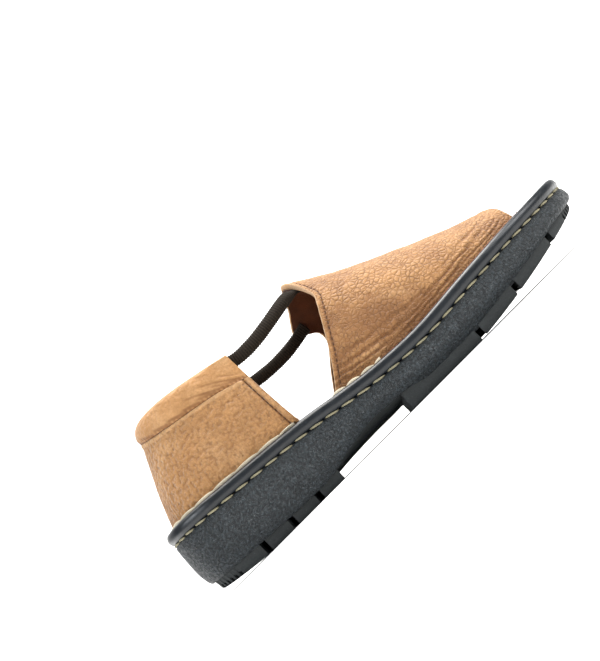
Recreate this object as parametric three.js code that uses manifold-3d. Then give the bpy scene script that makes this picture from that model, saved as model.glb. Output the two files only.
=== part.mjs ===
// A right-foot peep toe sandal with a closed heel: a leather vamp that is open at the throat and the
// toe, a leather quarter with a padded collar, two elastic straps that join them, a leather covered
// insole, a rolled welt, and a moulded outsole with a low heel, an arched waist and a lugged tread.
// Millimetres. +X runs to the toe, +Y to the medial (big toe) side, +Z up. The floor is z = 0.
// Stations along the shoe are shares of its length, counted from the back of the heel.
import * as THREE from "three";
import { mergeVertices } from "three/addons/utils/BufferGeometryUtils.js";
import Module from "manifold-3d";

const wasm = await Module();
wasm.setup();

// Outsole and welt
const length = 260; // heel to toe, over the welt
const heelWidth = 67; // over the welt
const ballWidth = 92.5; // over the welt
const soleHeight = 33.5; // outsole at the back of the heel, floor to welt
const toeSpring = 16.8; // how far the tread lifts at the tip of the toe
const heelLift = 4.3; // how far the tread lifts at the back of the heel
const lugDepth = 4.6;
const grooveWidth = 3; // gap between two lugs
const ribPitch = 3.2; // ribbed pads at the toe and the heel
const ribGap = 1.5;
const ribDepth = 1.9;
const treadInset = 3.4; // from the outline to the lugs
const treadBevel = 0.8;
const stitchGroove = 2.6; // depth of the groove under the welt
const sideShoulder = 1.3; // rounding below the groove
const weltHeight = 6.3;
const weltWidth = 6; // from its outer edge to the upper

// Upper and insole
const clearance = 0.3; // between two pieces that meet
const leatherWall = 2.4; // outer leather and lining together
const instepHeight = 88.6; // top of the throat above the floor
const collarHeight = 87; // top line above the floor
const collarPuff = 5.8; // thickness of the padded collar at its fullest
const quarterBulge = 2.8; // how far the quarter swells between the welt and the top line
const heelBulge = 1.4; // the same behind the heel
const insoleThickness = 4.8;
const insoleRim = 1.1; // rounding of its edge
const heelCup = 1.6; // how far the middle of the heel seat dips
const archRise = 2.6; // how far the insole rises under the arch
const archAt = 0.42; // station of the arch
const archReach = 0.14;

// Elastic straps
const strapHeight = 6.9;
const strapThickness = 5.4;
const strapEndThickness = 2.4; // where it is sewn against the lining
const strapSewnLength = 7;
const strapTaper = 9; // length over which it swells to its full thickness

// How finely the curved forms are divided
const outlineSteps = 80;
const outlineCrowding = 0.35; // how much closer the steps are round the heel and the toe
const acrossSteps = 3;
const vampSteps = { along: 12, around: 32 };
const heelSteps = { around: 32, up: 5 };
const strapSteps = { along: 14, around: 12 };

// Half widths of the welt's outer edge, as shares of the heel's or the ball's width
const outlineRows = [
  { along: 0.012, medial: 0.19, lateral: 0.19, of: heelWidth },
  { along: 0.045, medial: 0.36, lateral: 0.37, of: heelWidth },
  { along: 0.105, medial: 0.465, lateral: 0.485, of: heelWidth },
  { along: 0.19, medial: 0.49, lateral: 0.51, of: heelWidth },
  { along: 0.29, medial: 0.475, lateral: 0.52, of: heelWidth },
  { along: 0.4, medial: 0.335, lateral: 0.4, of: ballWidth },
  { along: 0.5, medial: 0.38, lateral: 0.455, of: ballWidth },
  { along: 0.6, medial: 0.445, lateral: 0.497, of: ballWidth },
  { along: 0.673, medial: 0.48, lateral: 0.503, of: ballWidth },
  { along: 0.731, medial: 0.497, lateral: 0.492, of: ballWidth },
  { along: 0.808, medial: 0.5, lateral: 0.452, of: ballWidth },
  { along: 0.885, medial: 0.457, lateral: 0.373, of: ballWidth },
  { along: 0.942, medial: 0.378, lateral: 0.27, of: ballWidth },
  { along: 0.977, medial: 0.272, lateral: 0.15, of: ballWidth },
  { along: 0.995, medial: 0.16, lateral: 0.035, of: ballWidth },
];
const toeTipSide = 0.065; // the tip lies to the medial side, as a share of the ball's width

// Side view of the outsole, as shares of its height: the stitched groove under the welt, the foot
// of the textured side, and how far the underside is keeled below that
const sideRows = [
  { along: 0, groove: 0.995, foot: 0.262, keel: 0 },
  { along: 0.12, groove: 0.918, foot: 0.19, keel: 0 },
  { along: 0.235, groove: 0.845, foot: 0.139, keel: 0 },
  { along: 0.3, groove: 0.797, foot: 0.148, keel: 0.04 },
  { along: 0.35, groove: 0.748, foot: 0.235, keel: 0.105 },
  { along: 0.41, groove: 0.668, foot: 0.3, keel: 0.155 },
  { along: 0.48, groove: 0.592, foot: 0.268, keel: 0.12 },
  { along: 0.575, groove: 0.555, foot: 0.23, keel: 0 },
  { along: 0.69, groove: 0.618, foot: 0.278, keel: 0 },
  { along: 0.8, groove: 0.678, foot: 0.356, keel: 0 },
  { along: 0.9, groove: 0.725, foot: 0.452, keel: 0 },
  { along: 1, groove: 0.79, foot: 0.56, keel: 0 },
];

// Between these two stations the tread lies on the floor, apart from the waist
const heelFlatStart = 0.14;
const forefootFlatEnd = 0.608;
const heelLiftCurve = 1.25;
const toeSpringCurve = 1.5;

// Zigzag lines across the tread: their stations at four places from medial to lateral
const zigzagPlaces = { medial: 0.62, innerMedial: 0.16, innerLateral: -0.2, lateral: -0.62 };
const breastLine = { medial: 0.311, innerMedial: 0.311, innerLateral: 0.311, lateral: 0.311 };
const forefootRearLine = { medial: 0.515, innerMedial: 0.54, innerLateral: 0.475, lateral: 0.48 };
const treadGrooves = [
  { medial: 0.078, innerMedial: 0.088, innerLateral: 0.136, lateral: 0.128 },
  { medial: 0.158, innerMedial: 0.138, innerLateral: 0.2, lateral: 0.188 },
  { medial: 0.232, innerMedial: 0.212, innerLateral: 0.262, lateral: 0.25 },
  { medial: 0.7, innerMedial: 0.66, innerLateral: 0.668, lateral: 0.632 },
  { medial: 0.81, innerMedial: 0.77, innerLateral: 0.766, lateral: 0.734 },
  { medial: 0.91, innerMedial: 0.876, innerLateral: 0.872, lateral: 0.85 },
];
const toeRibs = { first: 0.905, count: 9, turn: 12 };
const heelRibs = { first: 0.013, count: 8, turn: -17 };

// Sections of the vamp: height of its top as a share of the instep's, the place of its ridge to the
// medial side as a share of the ball's width, and how square the section is (2 is an ellipse)
const vampRows = [
  { along: 0.378, top: 1.11, ridge: 0, square: 2.25 },
  { along: 0.477, top: 1, ridge: 0.005, square: 2.3 },
  { along: 0.53, top: 0.91, ridge: 0.015, square: 2.3 },
  { along: 0.6, top: 0.799, ridge: 0.025, square: 2.35 },
  { along: 0.67, top: 0.703, ridge: 0.035, square: 2.42 },
  { along: 0.74, top: 0.614, ridge: 0.045, square: 2.42 },
  { along: 0.8, top: 0.55, ridge: 0.055, square: 2.45 },
  { along: 0.87, top: 0.489, ridge: 0.06, square: 2.45 },
];

// Stations of the vamp's two open edges, by how far up the section they are
const vampEdgeRows = [
  { rise: 0, throatLateral: 0.378, throatMedial: 0.378, toeLateral: 0.855, toeMedial: 0.87 },
  { rise: 0.1, throatLateral: 0.402, throatMedial: 0.402, toeLateral: 0.853, toeMedial: 0.866 },
  { rise: 0.3, throatLateral: 0.438, throatMedial: 0.438, toeLateral: 0.851, toeMedial: 0.861 },
  { rise: 0.5, throatLateral: 0.467, throatMedial: 0.4745, toeLateral: 0.85, toeMedial: 0.857 },
  { rise: 0.57, throatLateral: 0.4765, throatMedial: 0.4795, toeLateral: 0.85, toeMedial: 0.855 },
  { rise: 0.625, throatLateral: 0.4835, throatMedial: 0.473, toeLateral: 0.85, toeMedial: 0.854 },
  { rise: 0.65, throatLateral: 0.487, throatMedial: 0.447, toeLateral: 0.85, toeMedial: 0.853 },
  { rise: 0.68, throatLateral: 0.4905, throatMedial: 0.438, toeLateral: 0.85, toeMedial: 0.852 },
  { rise: 0.77, throatLateral: 0.5, throatMedial: 0.449, toeLateral: 0.849, toeMedial: 0.85 },
  { rise: 0.85, throatLateral: 0.4985, throatMedial: 0.4615, toeLateral: 0.847, toeMedial: 0.848 },
  { rise: 0.93, throatLateral: 0.491, throatMedial: 0.47, toeLateral: 0.844, toeMedial: 0.845 },
  { rise: 1, throatLateral: 0.478, throatMedial: 0.478, toeLateral: 0.84, toeMedial: 0.84 },
];

// The top line and the collar's seam, round the heel from the lateral front edge to the medial one:
// stations, sideways place as a share of the heel's width, heights as shares of the collar's
const quarterFront = 0.332; // station of the quarter's front edge at the welt
const heelRows = [
  { around: 0, at: 0.312, aside: -0.415, top: 0.905, seam: 0.725 },
  { around: 0.13, at: 0.247, aside: -0.415, top: 0.945, seam: 0.785 },
  { around: 0.26, at: 0.177, aside: -0.38, top: 0.983, seam: 0.83 },
  { around: 0.36, at: 0.128, aside: -0.29, top: 1, seam: 0.868 },
  { around: 0.44, at: 0.105, aside: -0.155, top: 1, seam: 0.9 },
  { around: 0.5, at: 0.099, aside: 0, top: 0.995, seam: 0.91 },
  { around: 0.56, at: 0.105, aside: 0.155, top: 1, seam: 0.9 },
  { around: 0.64, at: 0.128, aside: 0.29, top: 1, seam: 0.868 },
  { around: 0.74, at: 0.177, aside: 0.38, top: 0.983, seam: 0.83 },
  { around: 0.87, at: 0.247, aside: 0.41, top: 0.945, seam: 0.785 },
  { around: 1, at: 0.312, aside: 0.41, top: 0.905, seam: 0.725 },
];

// Section of the padded collar: how far up from its seam, and how far out of the quarter's face and
// into the shoe, as shares of the puff
const collarSection = [
  { rise: 0.02, out: 0 },
  { rise: 0.14, out: 0.17 },
  { rise: 0.4, out: 0.28 },
  { rise: 0.68, out: 0.24 },
  { rise: 0.9, out: 0.06 },
  { rise: 1, out: -0.3 },
  { rise: 0.92, out: -0.6 },
  { rise: 0.68, out: -0.74 },
  { rise: 0.4, out: -0.72 },
  { rise: 0.14, out: -0.58 },
  { rise: 0.02, out: -0.42 },
];

// Each strap leaves the collar at a share of the collar's height, and meets the vamp's throat edge
// and ends inside it at shares of the way round, counted from its own side
const straps = [
  { name: "strap_lateral", side: -1, rear: 0.862, front: 0.39, end: 0.46 },
  { name: "strap_medial", side: 1, rear: 0.78, front: 0.213, end: 0.235 },
];

const { lerp, smoothstep, clamp, degToRad } = THREE.MathUtils;

// A smooth curve through one column of a table, read at any value of its key
function readTable(rows, key, column, at) {
  const last = rows.length - 1;
  let i = 0;
  while (i < last - 1 && rows[i + 1][key] <= at) i += 1;
  const slopeAt = (k) => {
    const before = rows[Math.max(k - 1, 0)];
    const after = rows[Math.min(k + 1, last)];
    return (after[column] - before[column]) / (after[key] - before[key]);
  };
  const span = rows[i + 1][key] - rows[i][key];
  const t = clamp((at - rows[i][key]) / span, 0, 1);
  const eased = t * t * (3 - 2 * t);
  const bend = span * t * (1 - t) * (slopeAt(i) * (1 - t) - slopeAt(i + 1) * t);
  return lerp(rows[i][column], rows[i + 1][column], eased) + bend;
}

// The outline of the welt, a closed curve from the back of the heel along the medial side to the
// toe and back along the lateral side
const outline = new THREE.CatmullRomCurve3(
  [
    new THREE.Vector3(0, 0, 0),
    ...outlineRows.map((row) => new THREE.Vector3(row.along * length, row.medial * row.of, 0)),
    new THREE.Vector3(length, toeTipSide * ballWidth, 0),
    ...outlineRows.toReversed().map(
      (row) => new THREE.Vector3(row.along * length, -row.lateral * row.of, 0),
    ),
  ],
  true,
  "centripetal",
);
outline.arcLengthDivisions = 800;

function insetPoint(share, inset) {
  const wrapped = (share + 1) % 1;
  const point = outline.getPointAt(wrapped);
  const along = outline.getTangentAt(wrapped);
  return new THREE.Vector3(point.x + along.y * inset, point.y - along.x * inset, 0);
}

// Reads the y of an inset outline at a station x, on the medial (1) or lateral (-1) side
function sideReader(inset) {
  const fineSteps = 600;
  const points = Array.from({ length: fineSteps }, (_, i) => insetPoint(i / fineSteps, inset));
  const tip = points.reduce((best, point, i) => (point.x > points[best].x ? i : best), 0);
  const medial = points.slice(0, tip + 1);
  const lateral = [...points.slice(tip), points[0]].reverse();
  return (x, side) => {
    const run = side > 0 ? medial : lateral;
    const next = clamp(run.findIndex((point) => point.x >= x), 1, run.length - 1);
    const from = run[next - 1];
    const to = run[next];
    return lerp(from.y, to.y, clamp((x - from.x) / (to.x - from.x), 0, 1));
  };
}

// How far round the outline a station lies, as a share of the outline's own length
function outlineShare(x, side) {
  let near = 0;
  let far = 0.45;
  for (let i = 0; i < 30; i++) {
    const middle = (near + far) / 2;
    if (insetPoint(side * middle, 0).x < x) near = middle;
    else far = middle;
  }
  return near;
}

// Heights at a station
const sideLevel = (column) => (x) => soleHeight * readTable(sideRows, "along", column, x / length);
const grooveLevel = sideLevel("groove");
const footLevel = sideLevel("foot");
const keelDepth = sideLevel("keel");
const seatLevel = (x) => grooveLevel(x) + clearance; // where welt, insole and upper stand
function treadLevel(x) {
  const behind = Math.max(0, heelFlatStart - x / length) / heelFlatStart;
  const ahead = Math.max(0, x / length - forefootFlatEnd) / (1 - forefootFlatEnd);
  return heelLift * behind ** heelLiftCurve + toeSpring * ahead ** toeSpringCurve;
}
// The underside that the lugs stand on: at the foot of the side, or lower under the forefoot
function rootLevel(x) {
  const { innerLateral, innerMedial } = forefootRearLine;
  const underBall = smoothstep(x / length, innerLateral, innerMedial);
  const drop = Math.max(0, footLevel(x) - treadLevel(x) - lugDepth);
  return footLevel(x) - drop * underBall;
}

// Merges shared vertices, drops folded triangles and turns the faces outwards
function tidy(geometry) {
  const mergeDistance = 1e-3;
  const merged = mergeVertices(geometry, mergeDistance);
  const position = merged.getAttribute("position");
  const at = (i) => new THREE.Vector3().fromBufferAttribute(position, i);
  const faces = [];
  let volume = 0;
  for (let i = 0; i < merged.index.count; i += 3) {
    const [a, b, c] = [0, 1, 2].map((k) => merged.index.getX(i + k));
    if (a === b || b === c || c === a) continue;
    faces.push([a, b, c]);
    volume += at(a).dot(at(b).cross(at(c)));
  }
  merged.setIndex(faces.flatMap(([a, b, c]) => (volume < 0 ? [a, c, b] : [a, b, c])));
  return merged;
}

// Joins closed rings one after the other. A first and last ring that are folded onto a line or a
// point close the form, and looped joins the last ring to the first.
function loft(rings, looped = false) {
  const count = rings[0].length;
  const index = [];
  const joins = looped ? rings.length : rings.length - 1;
  for (let i = 0; i < joins; i++) {
    const here = i * count;
    const there = ((i + 1) % rings.length) * count;
    for (let j = 0; j < count; j++) {
      const next = (j + 1) % count;
      index.push(here + j, here + next, there + next, here + j, there + next, there + j);
    }
  }
  const geometry = new THREE.BufferGeometry();
  const positions = rings.flat().flatMap((point) => [point.x, point.y, point.z]);
  geometry.setAttribute("position", new THREE.Float32BufferAttribute(positions, 3));
  geometry.setIndex(index);
  return tidy(geometry);
}

function toSolid(geometry) {
  const bare = geometry.clone();
  bare.deleteAttribute("normal");
  bare.deleteAttribute("uv");
  const merged = tidy(bare);
  const mesh = new wasm.Mesh({
    numProp: 3,
    vertProperties: merged.getAttribute("position").array,
    triVerts: new Uint32Array(merged.index.array),
  });
  return new wasm.Manifold(mesh);
}

function toGeometry(solid) {
  const mesh = solid.getMesh();
  const geometry = new THREE.BufferGeometry();
  geometry.setAttribute("position", new THREE.BufferAttribute(mesh.vertProperties, 3));
  geometry.setIndex(new THREE.BufferAttribute(mesh.triVerts, 1));
  return geometry;
}

// A ring that runs round the sole, moved inwards from the outline. inset and level may both change
// with the station.
function soleRing(inset, level) {
  return Array.from({ length: outlineSteps }, (_, i) => {
    const round = i / outlineSteps;
    const share = round - (outlineCrowding * Math.sin(4 * Math.PI * round)) / (4 * Math.PI);
    const distance = typeof inset === "function" ? inset(outline.getPointAt(share).x) : inset;
    const point = insetPoint(share, distance);
    point.z = level(point.x);
    return point;
  });
}

// Rings that close a sole form: the edge drawn in, step by step, to the line half way between its
// two sides. level is given the station, the share of the way out to the edge, and the y.
function closingRings(edge, level) {
  const opposite = (j) => edge[(outlineSteps - j) % outlineSteps];
  const middle = edge.map((point, j) => point.clone().lerp(opposite(j), 0.5));
  return Array.from({ length: acrossSteps }, (_, i) => {
    const out = (acrossSteps - 1 - i) / acrossSteps;
    return edge.map((point, j) => {
      const drawn = middle[j].clone().lerp(point, out);
      drawn.z = level(drawn.x, out, drawn.y);
      return drawn;
    });
  });
}

// Outsole: a textured side under the stitched groove, a keeled waist, and the tread
function outsoleBase() {
  const side = (share) => (x) => lerp(grooveLevel(x) - sideShoulder, footLevel(x), share);
  const top = soleRing(stitchGroove, grooveLevel);
  const under = soleRing(treadInset + treadBevel, rootLevel);
  return loft([
    ...closingRings(top, grooveLevel).reverse(),
    top,
    soleRing(stitchGroove / 2, (x) => grooveLevel(x) - sideShoulder / 3),
    soleRing(0.7, side(0)),
    soleRing(0.25, side(0.3)),
    soleRing(0, side(0.7)),
    soleRing(0.7, side(0.92)),
    soleRing(1.9, side(1)),
    under,
    ...closingRings(under, (x, out) => rootLevel(x) - keelDepth(x) * (1 - out ** 2)),
  ]);
}

function treadSlab() {
  const buried = 1.2; // how far the lugs reach into the base
  const root = (x) => rootLevel(x) + buried;
  const edge = soleRing(treadInset, root);
  const face = soleRing(treadInset + 2 * treadBevel, treadLevel);
  return loft([
    ...closingRings(edge, root).reverse(),
    edge,
    soleRing(treadInset + treadBevel, (x) => treadLevel(x) + treadBevel),
    face,
    ...closingRings(face, treadLevel),
  ]);
}

// An upright prism between two zigzag lines, each moved along the shoe by its own shift
function prismBetween(rearLine, rearShift, frontLine, frontShift) {
  const zigzag = (line, shift) =>
    Object.entries(zigzagPlaces).map(
      ([place, side]) => new THREE.Vector2(line[place] * length + shift, side * ballWidth),
    );
  const shape = new THREE.Shape([
    ...zigzag(rearLine, rearShift),
    ...zigzag(frontLine, frontShift).reverse(),
  ]);
  const depth = 2 * soleHeight;
  const prism = new THREE.ExtrudeGeometry(shape, { depth, bevelEnabled: false });
  return toSolid(prism.translate(0, 0, -depth / 2));
}

// Bars that cut the gaps between the ribs of a pad into the face of the tread
function ribBars({ first, count, turn }) {
  return Array.from({ length: count }, (_, i) => {
    const x = first * length + i * ribPitch;
    const rise = treadLevel(x + ribPitch) - treadLevel(x - ribPitch);
    const bar = new THREE.BoxGeometry(ribGap, ballWidth * 1.1, 2 * ribDepth);
    bar.rotateY(-Math.atan2(rise, 2 * ribPitch));
    bar.rotateZ(degToRad(turn));
    return toSolid(bar.translate(x, 0, treadLevel(x)));
  });
}

function outsoleGeometry() {
  const gaps = [prismBetween(breastLine, 0, forefootRearLine, 0)];
  for (const line of treadGrooves) {
    gaps.push(prismBetween(line, -grooveWidth / 2, line, grooveWidth / 2));
  }
  gaps.push(...ribBars(toeRibs), ...ribBars(heelRibs));
  const tread = gaps.reduce((left, gap) => left.subtract(gap), toSolid(treadSlab()));
  return toGeometry(toSolid(outsoleBase()).add(tread));
}

// Welt: a rolled rim round the whole sole
function weltGeometry() {
  const section = [
    { inward: 1, up: 0 },
    { inward: 0.3, up: 0 },
    { inward: 0.07, up: 0.16 },
    { inward: 0, up: 0.44 },
    { inward: 0.06, up: 0.72 },
    { inward: 0.24, up: 0.93 },
    { inward: 0.52, up: 1 },
    { inward: 0.82, up: 0.94 },
    { inward: 1, up: 0.8 },
  ];
  const rings = section.map(({ inward, up }) =>
    soleRing(inward * weltWidth, (x) => seatLevel(x) + up * weltHeight),
  );
  return loft(rings, true);
}

// Insole: fills the welt, and draws in where the upper stands between the two
function insoleGeometry() {
  const beside = weltWidth + 2 * clearance + leatherWall;
  const edges = vampEdgeRows[0];
  const margin = 0.045; // beyond the vamp it widens over this share of the length
  const inFront = (at) => smoothstep(at, edges.toeMedial + margin / 2, edges.toeMedial + 2 * margin);
  const inset = (x) => lerp(beside + clearance, weltWidth + clearance, inFront(x / length));
  const top = (x, out, y) => {
    const heel = 1 - smoothstep(x / length, 0.25, 0.5);
    const underArch = Math.exp(-(((x / length - archAt) / archReach) ** 2));
    const arch = underArch * smoothstep(y, 0, 0.3 * heelWidth) * out * (1 - out ** 4);
    const dip = heelCup * heel * (1 - out ** 2);
    return seatLevel(x) + insoleThickness - dip + archRise * arch;
  };
  const bottomRing = soleRing(inset, seatLevel);
  const topRing = soleRing((x) => inset(x) + insoleRim, (x) => seatLevel(x) + insoleThickness);
  return loft([
    ...closingRings(bottomRing, seatLevel).reverse(),
    bottomRing,
    soleRing(inset, (x) => seatLevel(x) + insoleThickness - insoleRim),
    topRing,
    ...closingRings(topRing, top),
  ]);
}

// The vamp's outer face: along from throat (0) to toe (1), around from lateral (0) to medial (1)
const upperSide = sideReader(weltWidth + clearance);
function vampPoint(along, around) {
  const turn = Math.PI * clamp(around, 0, 1);
  const medial = around > 0.5;
  const edgePower = 2 / 2.3;
  const rise = Math.sin(turn) ** edgePower;
  const edge = (name) =>
    readTable(vampEdgeRows, "rise", name + (medial ? "Medial" : "Lateral"), rise) * length;
  const x = lerp(edge("throat"), edge("toe"), along);
  const row = (column) => readTable(vampRows, "along", column, x / length);
  const power = 2 / row("square");
  const ridge = row("ridge") * ballWidth;
  const foot = upperSide(x, medial ? 1 : -1);
  const base = seatLevel(x);
  return new THREE.Vector3(
    x,
    lerp(ridge, foot, Math.abs(Math.cos(turn)) ** power),
    lerp(base, row("top") * instepHeight, Math.sin(turn) ** power),
  );
}

// The heel's outer face: up from the welt (0) to the top line (1), around as the vamp
const heelArc = {
  lateral: outlineShare(quarterFront * length, -1),
  medial: outlineShare(quarterFront * length, 1),
};
function heelPoint(up, around) {
  const row = (column) => readTable(heelRows, "around", column, around);
  const share = (2 * around - 1) * (around < 0.5 ? heelArc.lateral : heelArc.medial);
  const base = insetPoint(share, weltWidth + clearance);
  base.z = seatLevel(base.x);
  const top = new THREE.Vector3(row("at"), row("aside"), row("top"));
  top.multiply(new THREE.Vector3(length, heelWidth, collarHeight));
  const welted = weltHeight / (top.z - base.z);
  const above = Math.max(0, up - welted) / (1 - welted); // upright beside the welt
  const cutBack = lerp(above, up ** 0.4, Math.abs(2 * around - 1) ** 4); // of the front edges
  const swell = Math.sin(Math.PI * Math.sqrt(above));
  return new THREE.Vector3(
    lerp(base.x, top.x, cutBack) - heelBulge * swell * Math.sin(Math.PI * around) ** 4,
    lerp(base.y, top.y, above) - quarterBulge * swell * Math.cos(Math.PI * around),
    lerp(base.z, top.z, up),
  );
}
// How far up the heel's face a height lies
function upAt(height, around) {
  const base = heelPoint(0, around).z;
  return (height - base) / (heelPoint(1, around).z - base);
}
const seamUp = (around) => upAt(readTable(heelRows, "around", "seam", around) * collarHeight, around);

// The outward normal of a face, and a point moved off it
function faceNormal(face, a, b) {
  const step = 2e-3;
  const slope = (from, to) => face(...to).sub(face(...from));
  const [lowA, highA] = [Math.max(a - step, 0), Math.min(a + step, 1)];
  const [lowB, highB] = [Math.max(b - step, 0), Math.min(b + step, 1)];
  const alongA = slope([lowA, b], [highA, b]);
  const alongB = slope([a, lowB], [a, highB]);
  return alongA.cross(alongB).normalize();
}
function offFace(face, a, b, distance) {
  return face(a, b).addScaledVector(faceNormal(face, a, b), distance);
}

// A wall of even thickness inside a face. places(b) lists the values of a at each b.
function wallGeometry(face, places, aroundSteps) {
  const rings = Array.from({ length: aroundSteps + 1 }, (_, i) => {
    const b = i / aroundSteps;
    const outer = places(b).map((a) => face(a, b));
    const inner = places(b).map((a) => {
      const point = offFace(face, a, b, -leatherWall);
      point.z = Math.max(point.z, seatLevel(point.x));
      return point;
    });
    return [...outer, ...inner.reverse()];
  });
  const folded = (ring) => ring.map((_, j) => ring[Math.min(j, ring.length - 1 - j)]);
  return loft([folded(rings[0]), ...rings, folded(rings.at(-1))]);
}

function vampGeometry() {
  const places = Array.from({ length: vampSteps.along + 1 }, (_, k) => k / vampSteps.along);
  return wallGeometry(vampPoint, () => places, vampSteps.around);
}

// Quarter: upright beside the welt, then up to the collar's seam
function quarterGeometry() {
  const places = (around) => {
    const welted = upAt(heelPoint(0, around).z + weltHeight, around);
    const above = (k) => lerp(welted, seamUp(around), k / heelSteps.up);
    return [0, ...Array.from({ length: heelSteps.up + 1 }, (_, k) => above(k))];
  };
  return wallGeometry(heelPoint, places, heelSteps.around);
}

// Collar: padded round the heel, and flat at both front edges where the straps are sewn on
function collarGeometry() {
  const flatEnd = 0.05;
  const fullFrom = 0.13;
  const rings = Array.from({ length: heelSteps.around + 1 }, (_, i) => {
    const around = i / heelSteps.around;
    const full = smoothstep(Math.min(around, 1 - around), flatEnd, fullFrom);
    const seam = seamUp(around);
    return collarSection.map(({ rise, out }) => {
      const flat = out > -0.3 ? 0 : -leatherWall;
      const topped = rise === 1 ? -leatherWall / 2 : flat;
      return offFace(heelPoint, lerp(seam, 1, rise), around, lerp(topped, out * collarPuff, full));
    });
  });
  const centre = (ring) => {
    const sum = ring.reduce((total, point) => total.add(point), new THREE.Vector3());
    return ring.map(() => sum.clone().divideScalar(ring.length));
  };
  return loft([centre(rings[0]), ...rings, centre(rings.at(-1))]);
}

// A strap: a soft curve from the inner face of the collar to the inner face of the vamp, sewn flat
// against both linings
function strapGeometry({ side, rear, front, end }) {
  const sewnOffset = -(leatherWall + clearance + strapEndThickness / 2);
  const onSide = (around) => (side > 0 ? 1 - around : around);
  const rearUp = upAt(rear * collarHeight, onSide(0));
  const nearEdge = 0.05;
  const collarRun = heelPoint(rearUp, onSide(0)).distanceTo(heelPoint(rearUp, onSide(nearEdge)));
  const vampRun = vampPoint(0, onSide(end)).distanceTo(vampPoint(1, onSide(end)));
  const anchors = [
    [heelPoint, rearUp, onSide((nearEdge * strapSewnLength) / collarRun)],
    [heelPoint, rearUp, onSide(0)],
    [vampPoint, 0, onSide(front)],
    [vampPoint, strapSewnLength / vampRun, onSide(end)],
  ];
  const route = anchors.map((place) => offFace(...place, sewnOffset));
  const outward = anchors.map((place) => faceNormal(...place));
  const free = route[1].distanceTo(route[2]);
  const handle = (from, to) => to.clone().sub(from).setLength(free / 3).add(to);
  const curve = new THREE.CubicBezierCurve3(
    route[1],
    handle(route[0], route[1]),
    handle(route[3], route[2]),
    route[2],
  );
  const freeLeg = Array.from({ length: strapSteps.along + 1 }, (_, i) => {
    const share = i / strapSteps.along;
    const fromEdge = Math.min(share, 1 - share) * free;
    return {
      centre: curve.getPoint(share),
      along: curve.getTangent(share),
      out: outward[1].clone().lerp(outward[2], share),
      thickness: lerp(strapEndThickness, strapThickness, smoothstep(fromEdge, 0, strapTaper)),
    };
  });
  const sewnEnd = (at, from, to) => ({
    centre: route[at],
    along: route[to].clone().sub(route[from]).normalize(),
    out: outward[at].clone(),
    thickness: strapEndThickness,
  });
  const stations = [sewnEnd(0, 0, 1), ...freeLeg, sewnEnd(3, 2, 3)];
  const rings = stations.map(({ centre, along, out, thickness }) => {
    out.addScaledVector(along, -out.dot(along)).normalize();
    const up = along.clone().cross(out);
    return Array.from({ length: strapSteps.around }, (_, k) => {
      const turn = (2 * Math.PI * k) / strapSteps.around;
      return centre
        .clone()
        .addScaledVector(up, (Math.cos(turn) * strapHeight) / 2)
        .addScaledVector(out, (Math.sin(turn) * thickness) / 2);
    });
  });
  const ends = [route[0], route[3]].map((point) => rings[0].map(() => point));
  return loft([ends[0], ...rings, ends[1]]);
}

const colours = {
  rubber: 0x30383e,
  welt: 0x3a4650,
  leather: 0xb5804f,
  lining: 0xb4743c,
  elastic: 0x463c3a,
};

function piece(name, geometry, color, roughness) {
  geometry.computeVertexNormals();
  const material = new THREE.MeshStandardMaterial({ color, roughness, metalness: 0 });
  const mesh = new THREE.Mesh(geometry, material);
  mesh.name = name;
  return mesh;
}

const sandal = new THREE.Group();
const welt = piece("welt", weltGeometry(), colours.welt, 0.45);
sandal.add(
  piece("outsole", outsoleGeometry(), colours.rubber, 0.7),
  welt,
  piece("insole", insoleGeometry(), colours.lining, 0.6),
  piece("quarter", quarterGeometry(), colours.leather, 0.75),
  piece("collar", collarGeometry(), colours.leather, 0.75),
  piece("vamp", vampGeometry(), colours.leather, 0.75),
  ...straps.map((strap) => piece(strap.name, strapGeometry(strap), colours.elastic, 0.9)),
);

// The origin is on the floor, under the middle of the sole
const middle = new THREE.Box3().setFromObject(welt).getCenter(new THREE.Vector3());
sandal.position.set(-middle.x, -middle.y, 0);

export default sandal;
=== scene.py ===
import math
from bisect import bisect_right
from functools import lru_cache

import bmesh
import bpy
from bpy.props import FloatProperty, FloatVectorProperty, PointerProperty
from mathutils import Matrix, Vector, noise


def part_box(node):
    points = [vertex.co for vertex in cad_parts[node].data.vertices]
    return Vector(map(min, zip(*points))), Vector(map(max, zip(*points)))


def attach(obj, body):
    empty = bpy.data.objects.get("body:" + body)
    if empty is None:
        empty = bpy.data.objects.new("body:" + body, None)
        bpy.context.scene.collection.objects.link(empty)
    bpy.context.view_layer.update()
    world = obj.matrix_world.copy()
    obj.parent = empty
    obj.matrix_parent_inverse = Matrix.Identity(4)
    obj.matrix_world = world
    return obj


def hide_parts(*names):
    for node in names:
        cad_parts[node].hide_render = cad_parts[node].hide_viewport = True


bl_info = {
    "name": "Peep Toe Sandal",
    "version": (1, 0, 0),
    "blender": (4, 5, 0),
    "location": "3D View > Sidebar > Sandal",
    "description": "Makes the finished pieces of a leather peep toe sandal over its solid model",
    "category": "Object",
}

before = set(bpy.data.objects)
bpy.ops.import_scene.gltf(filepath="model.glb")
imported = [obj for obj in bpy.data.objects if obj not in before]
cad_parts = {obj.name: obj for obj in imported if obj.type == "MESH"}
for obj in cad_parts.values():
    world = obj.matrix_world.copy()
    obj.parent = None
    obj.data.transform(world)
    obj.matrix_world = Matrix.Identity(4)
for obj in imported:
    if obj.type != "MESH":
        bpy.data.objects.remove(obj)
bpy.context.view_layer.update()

# Metres. Stations run from the back of the heel to the toe, +Y is the medial side and the floor is
# z = 0. A finished piece is moved by SHIFT, because the model's origin is under the sole's middle.
MM = 0.001
SHIFT = Vector((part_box("welt")[0].x, 0.05 * MM, 0))

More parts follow.
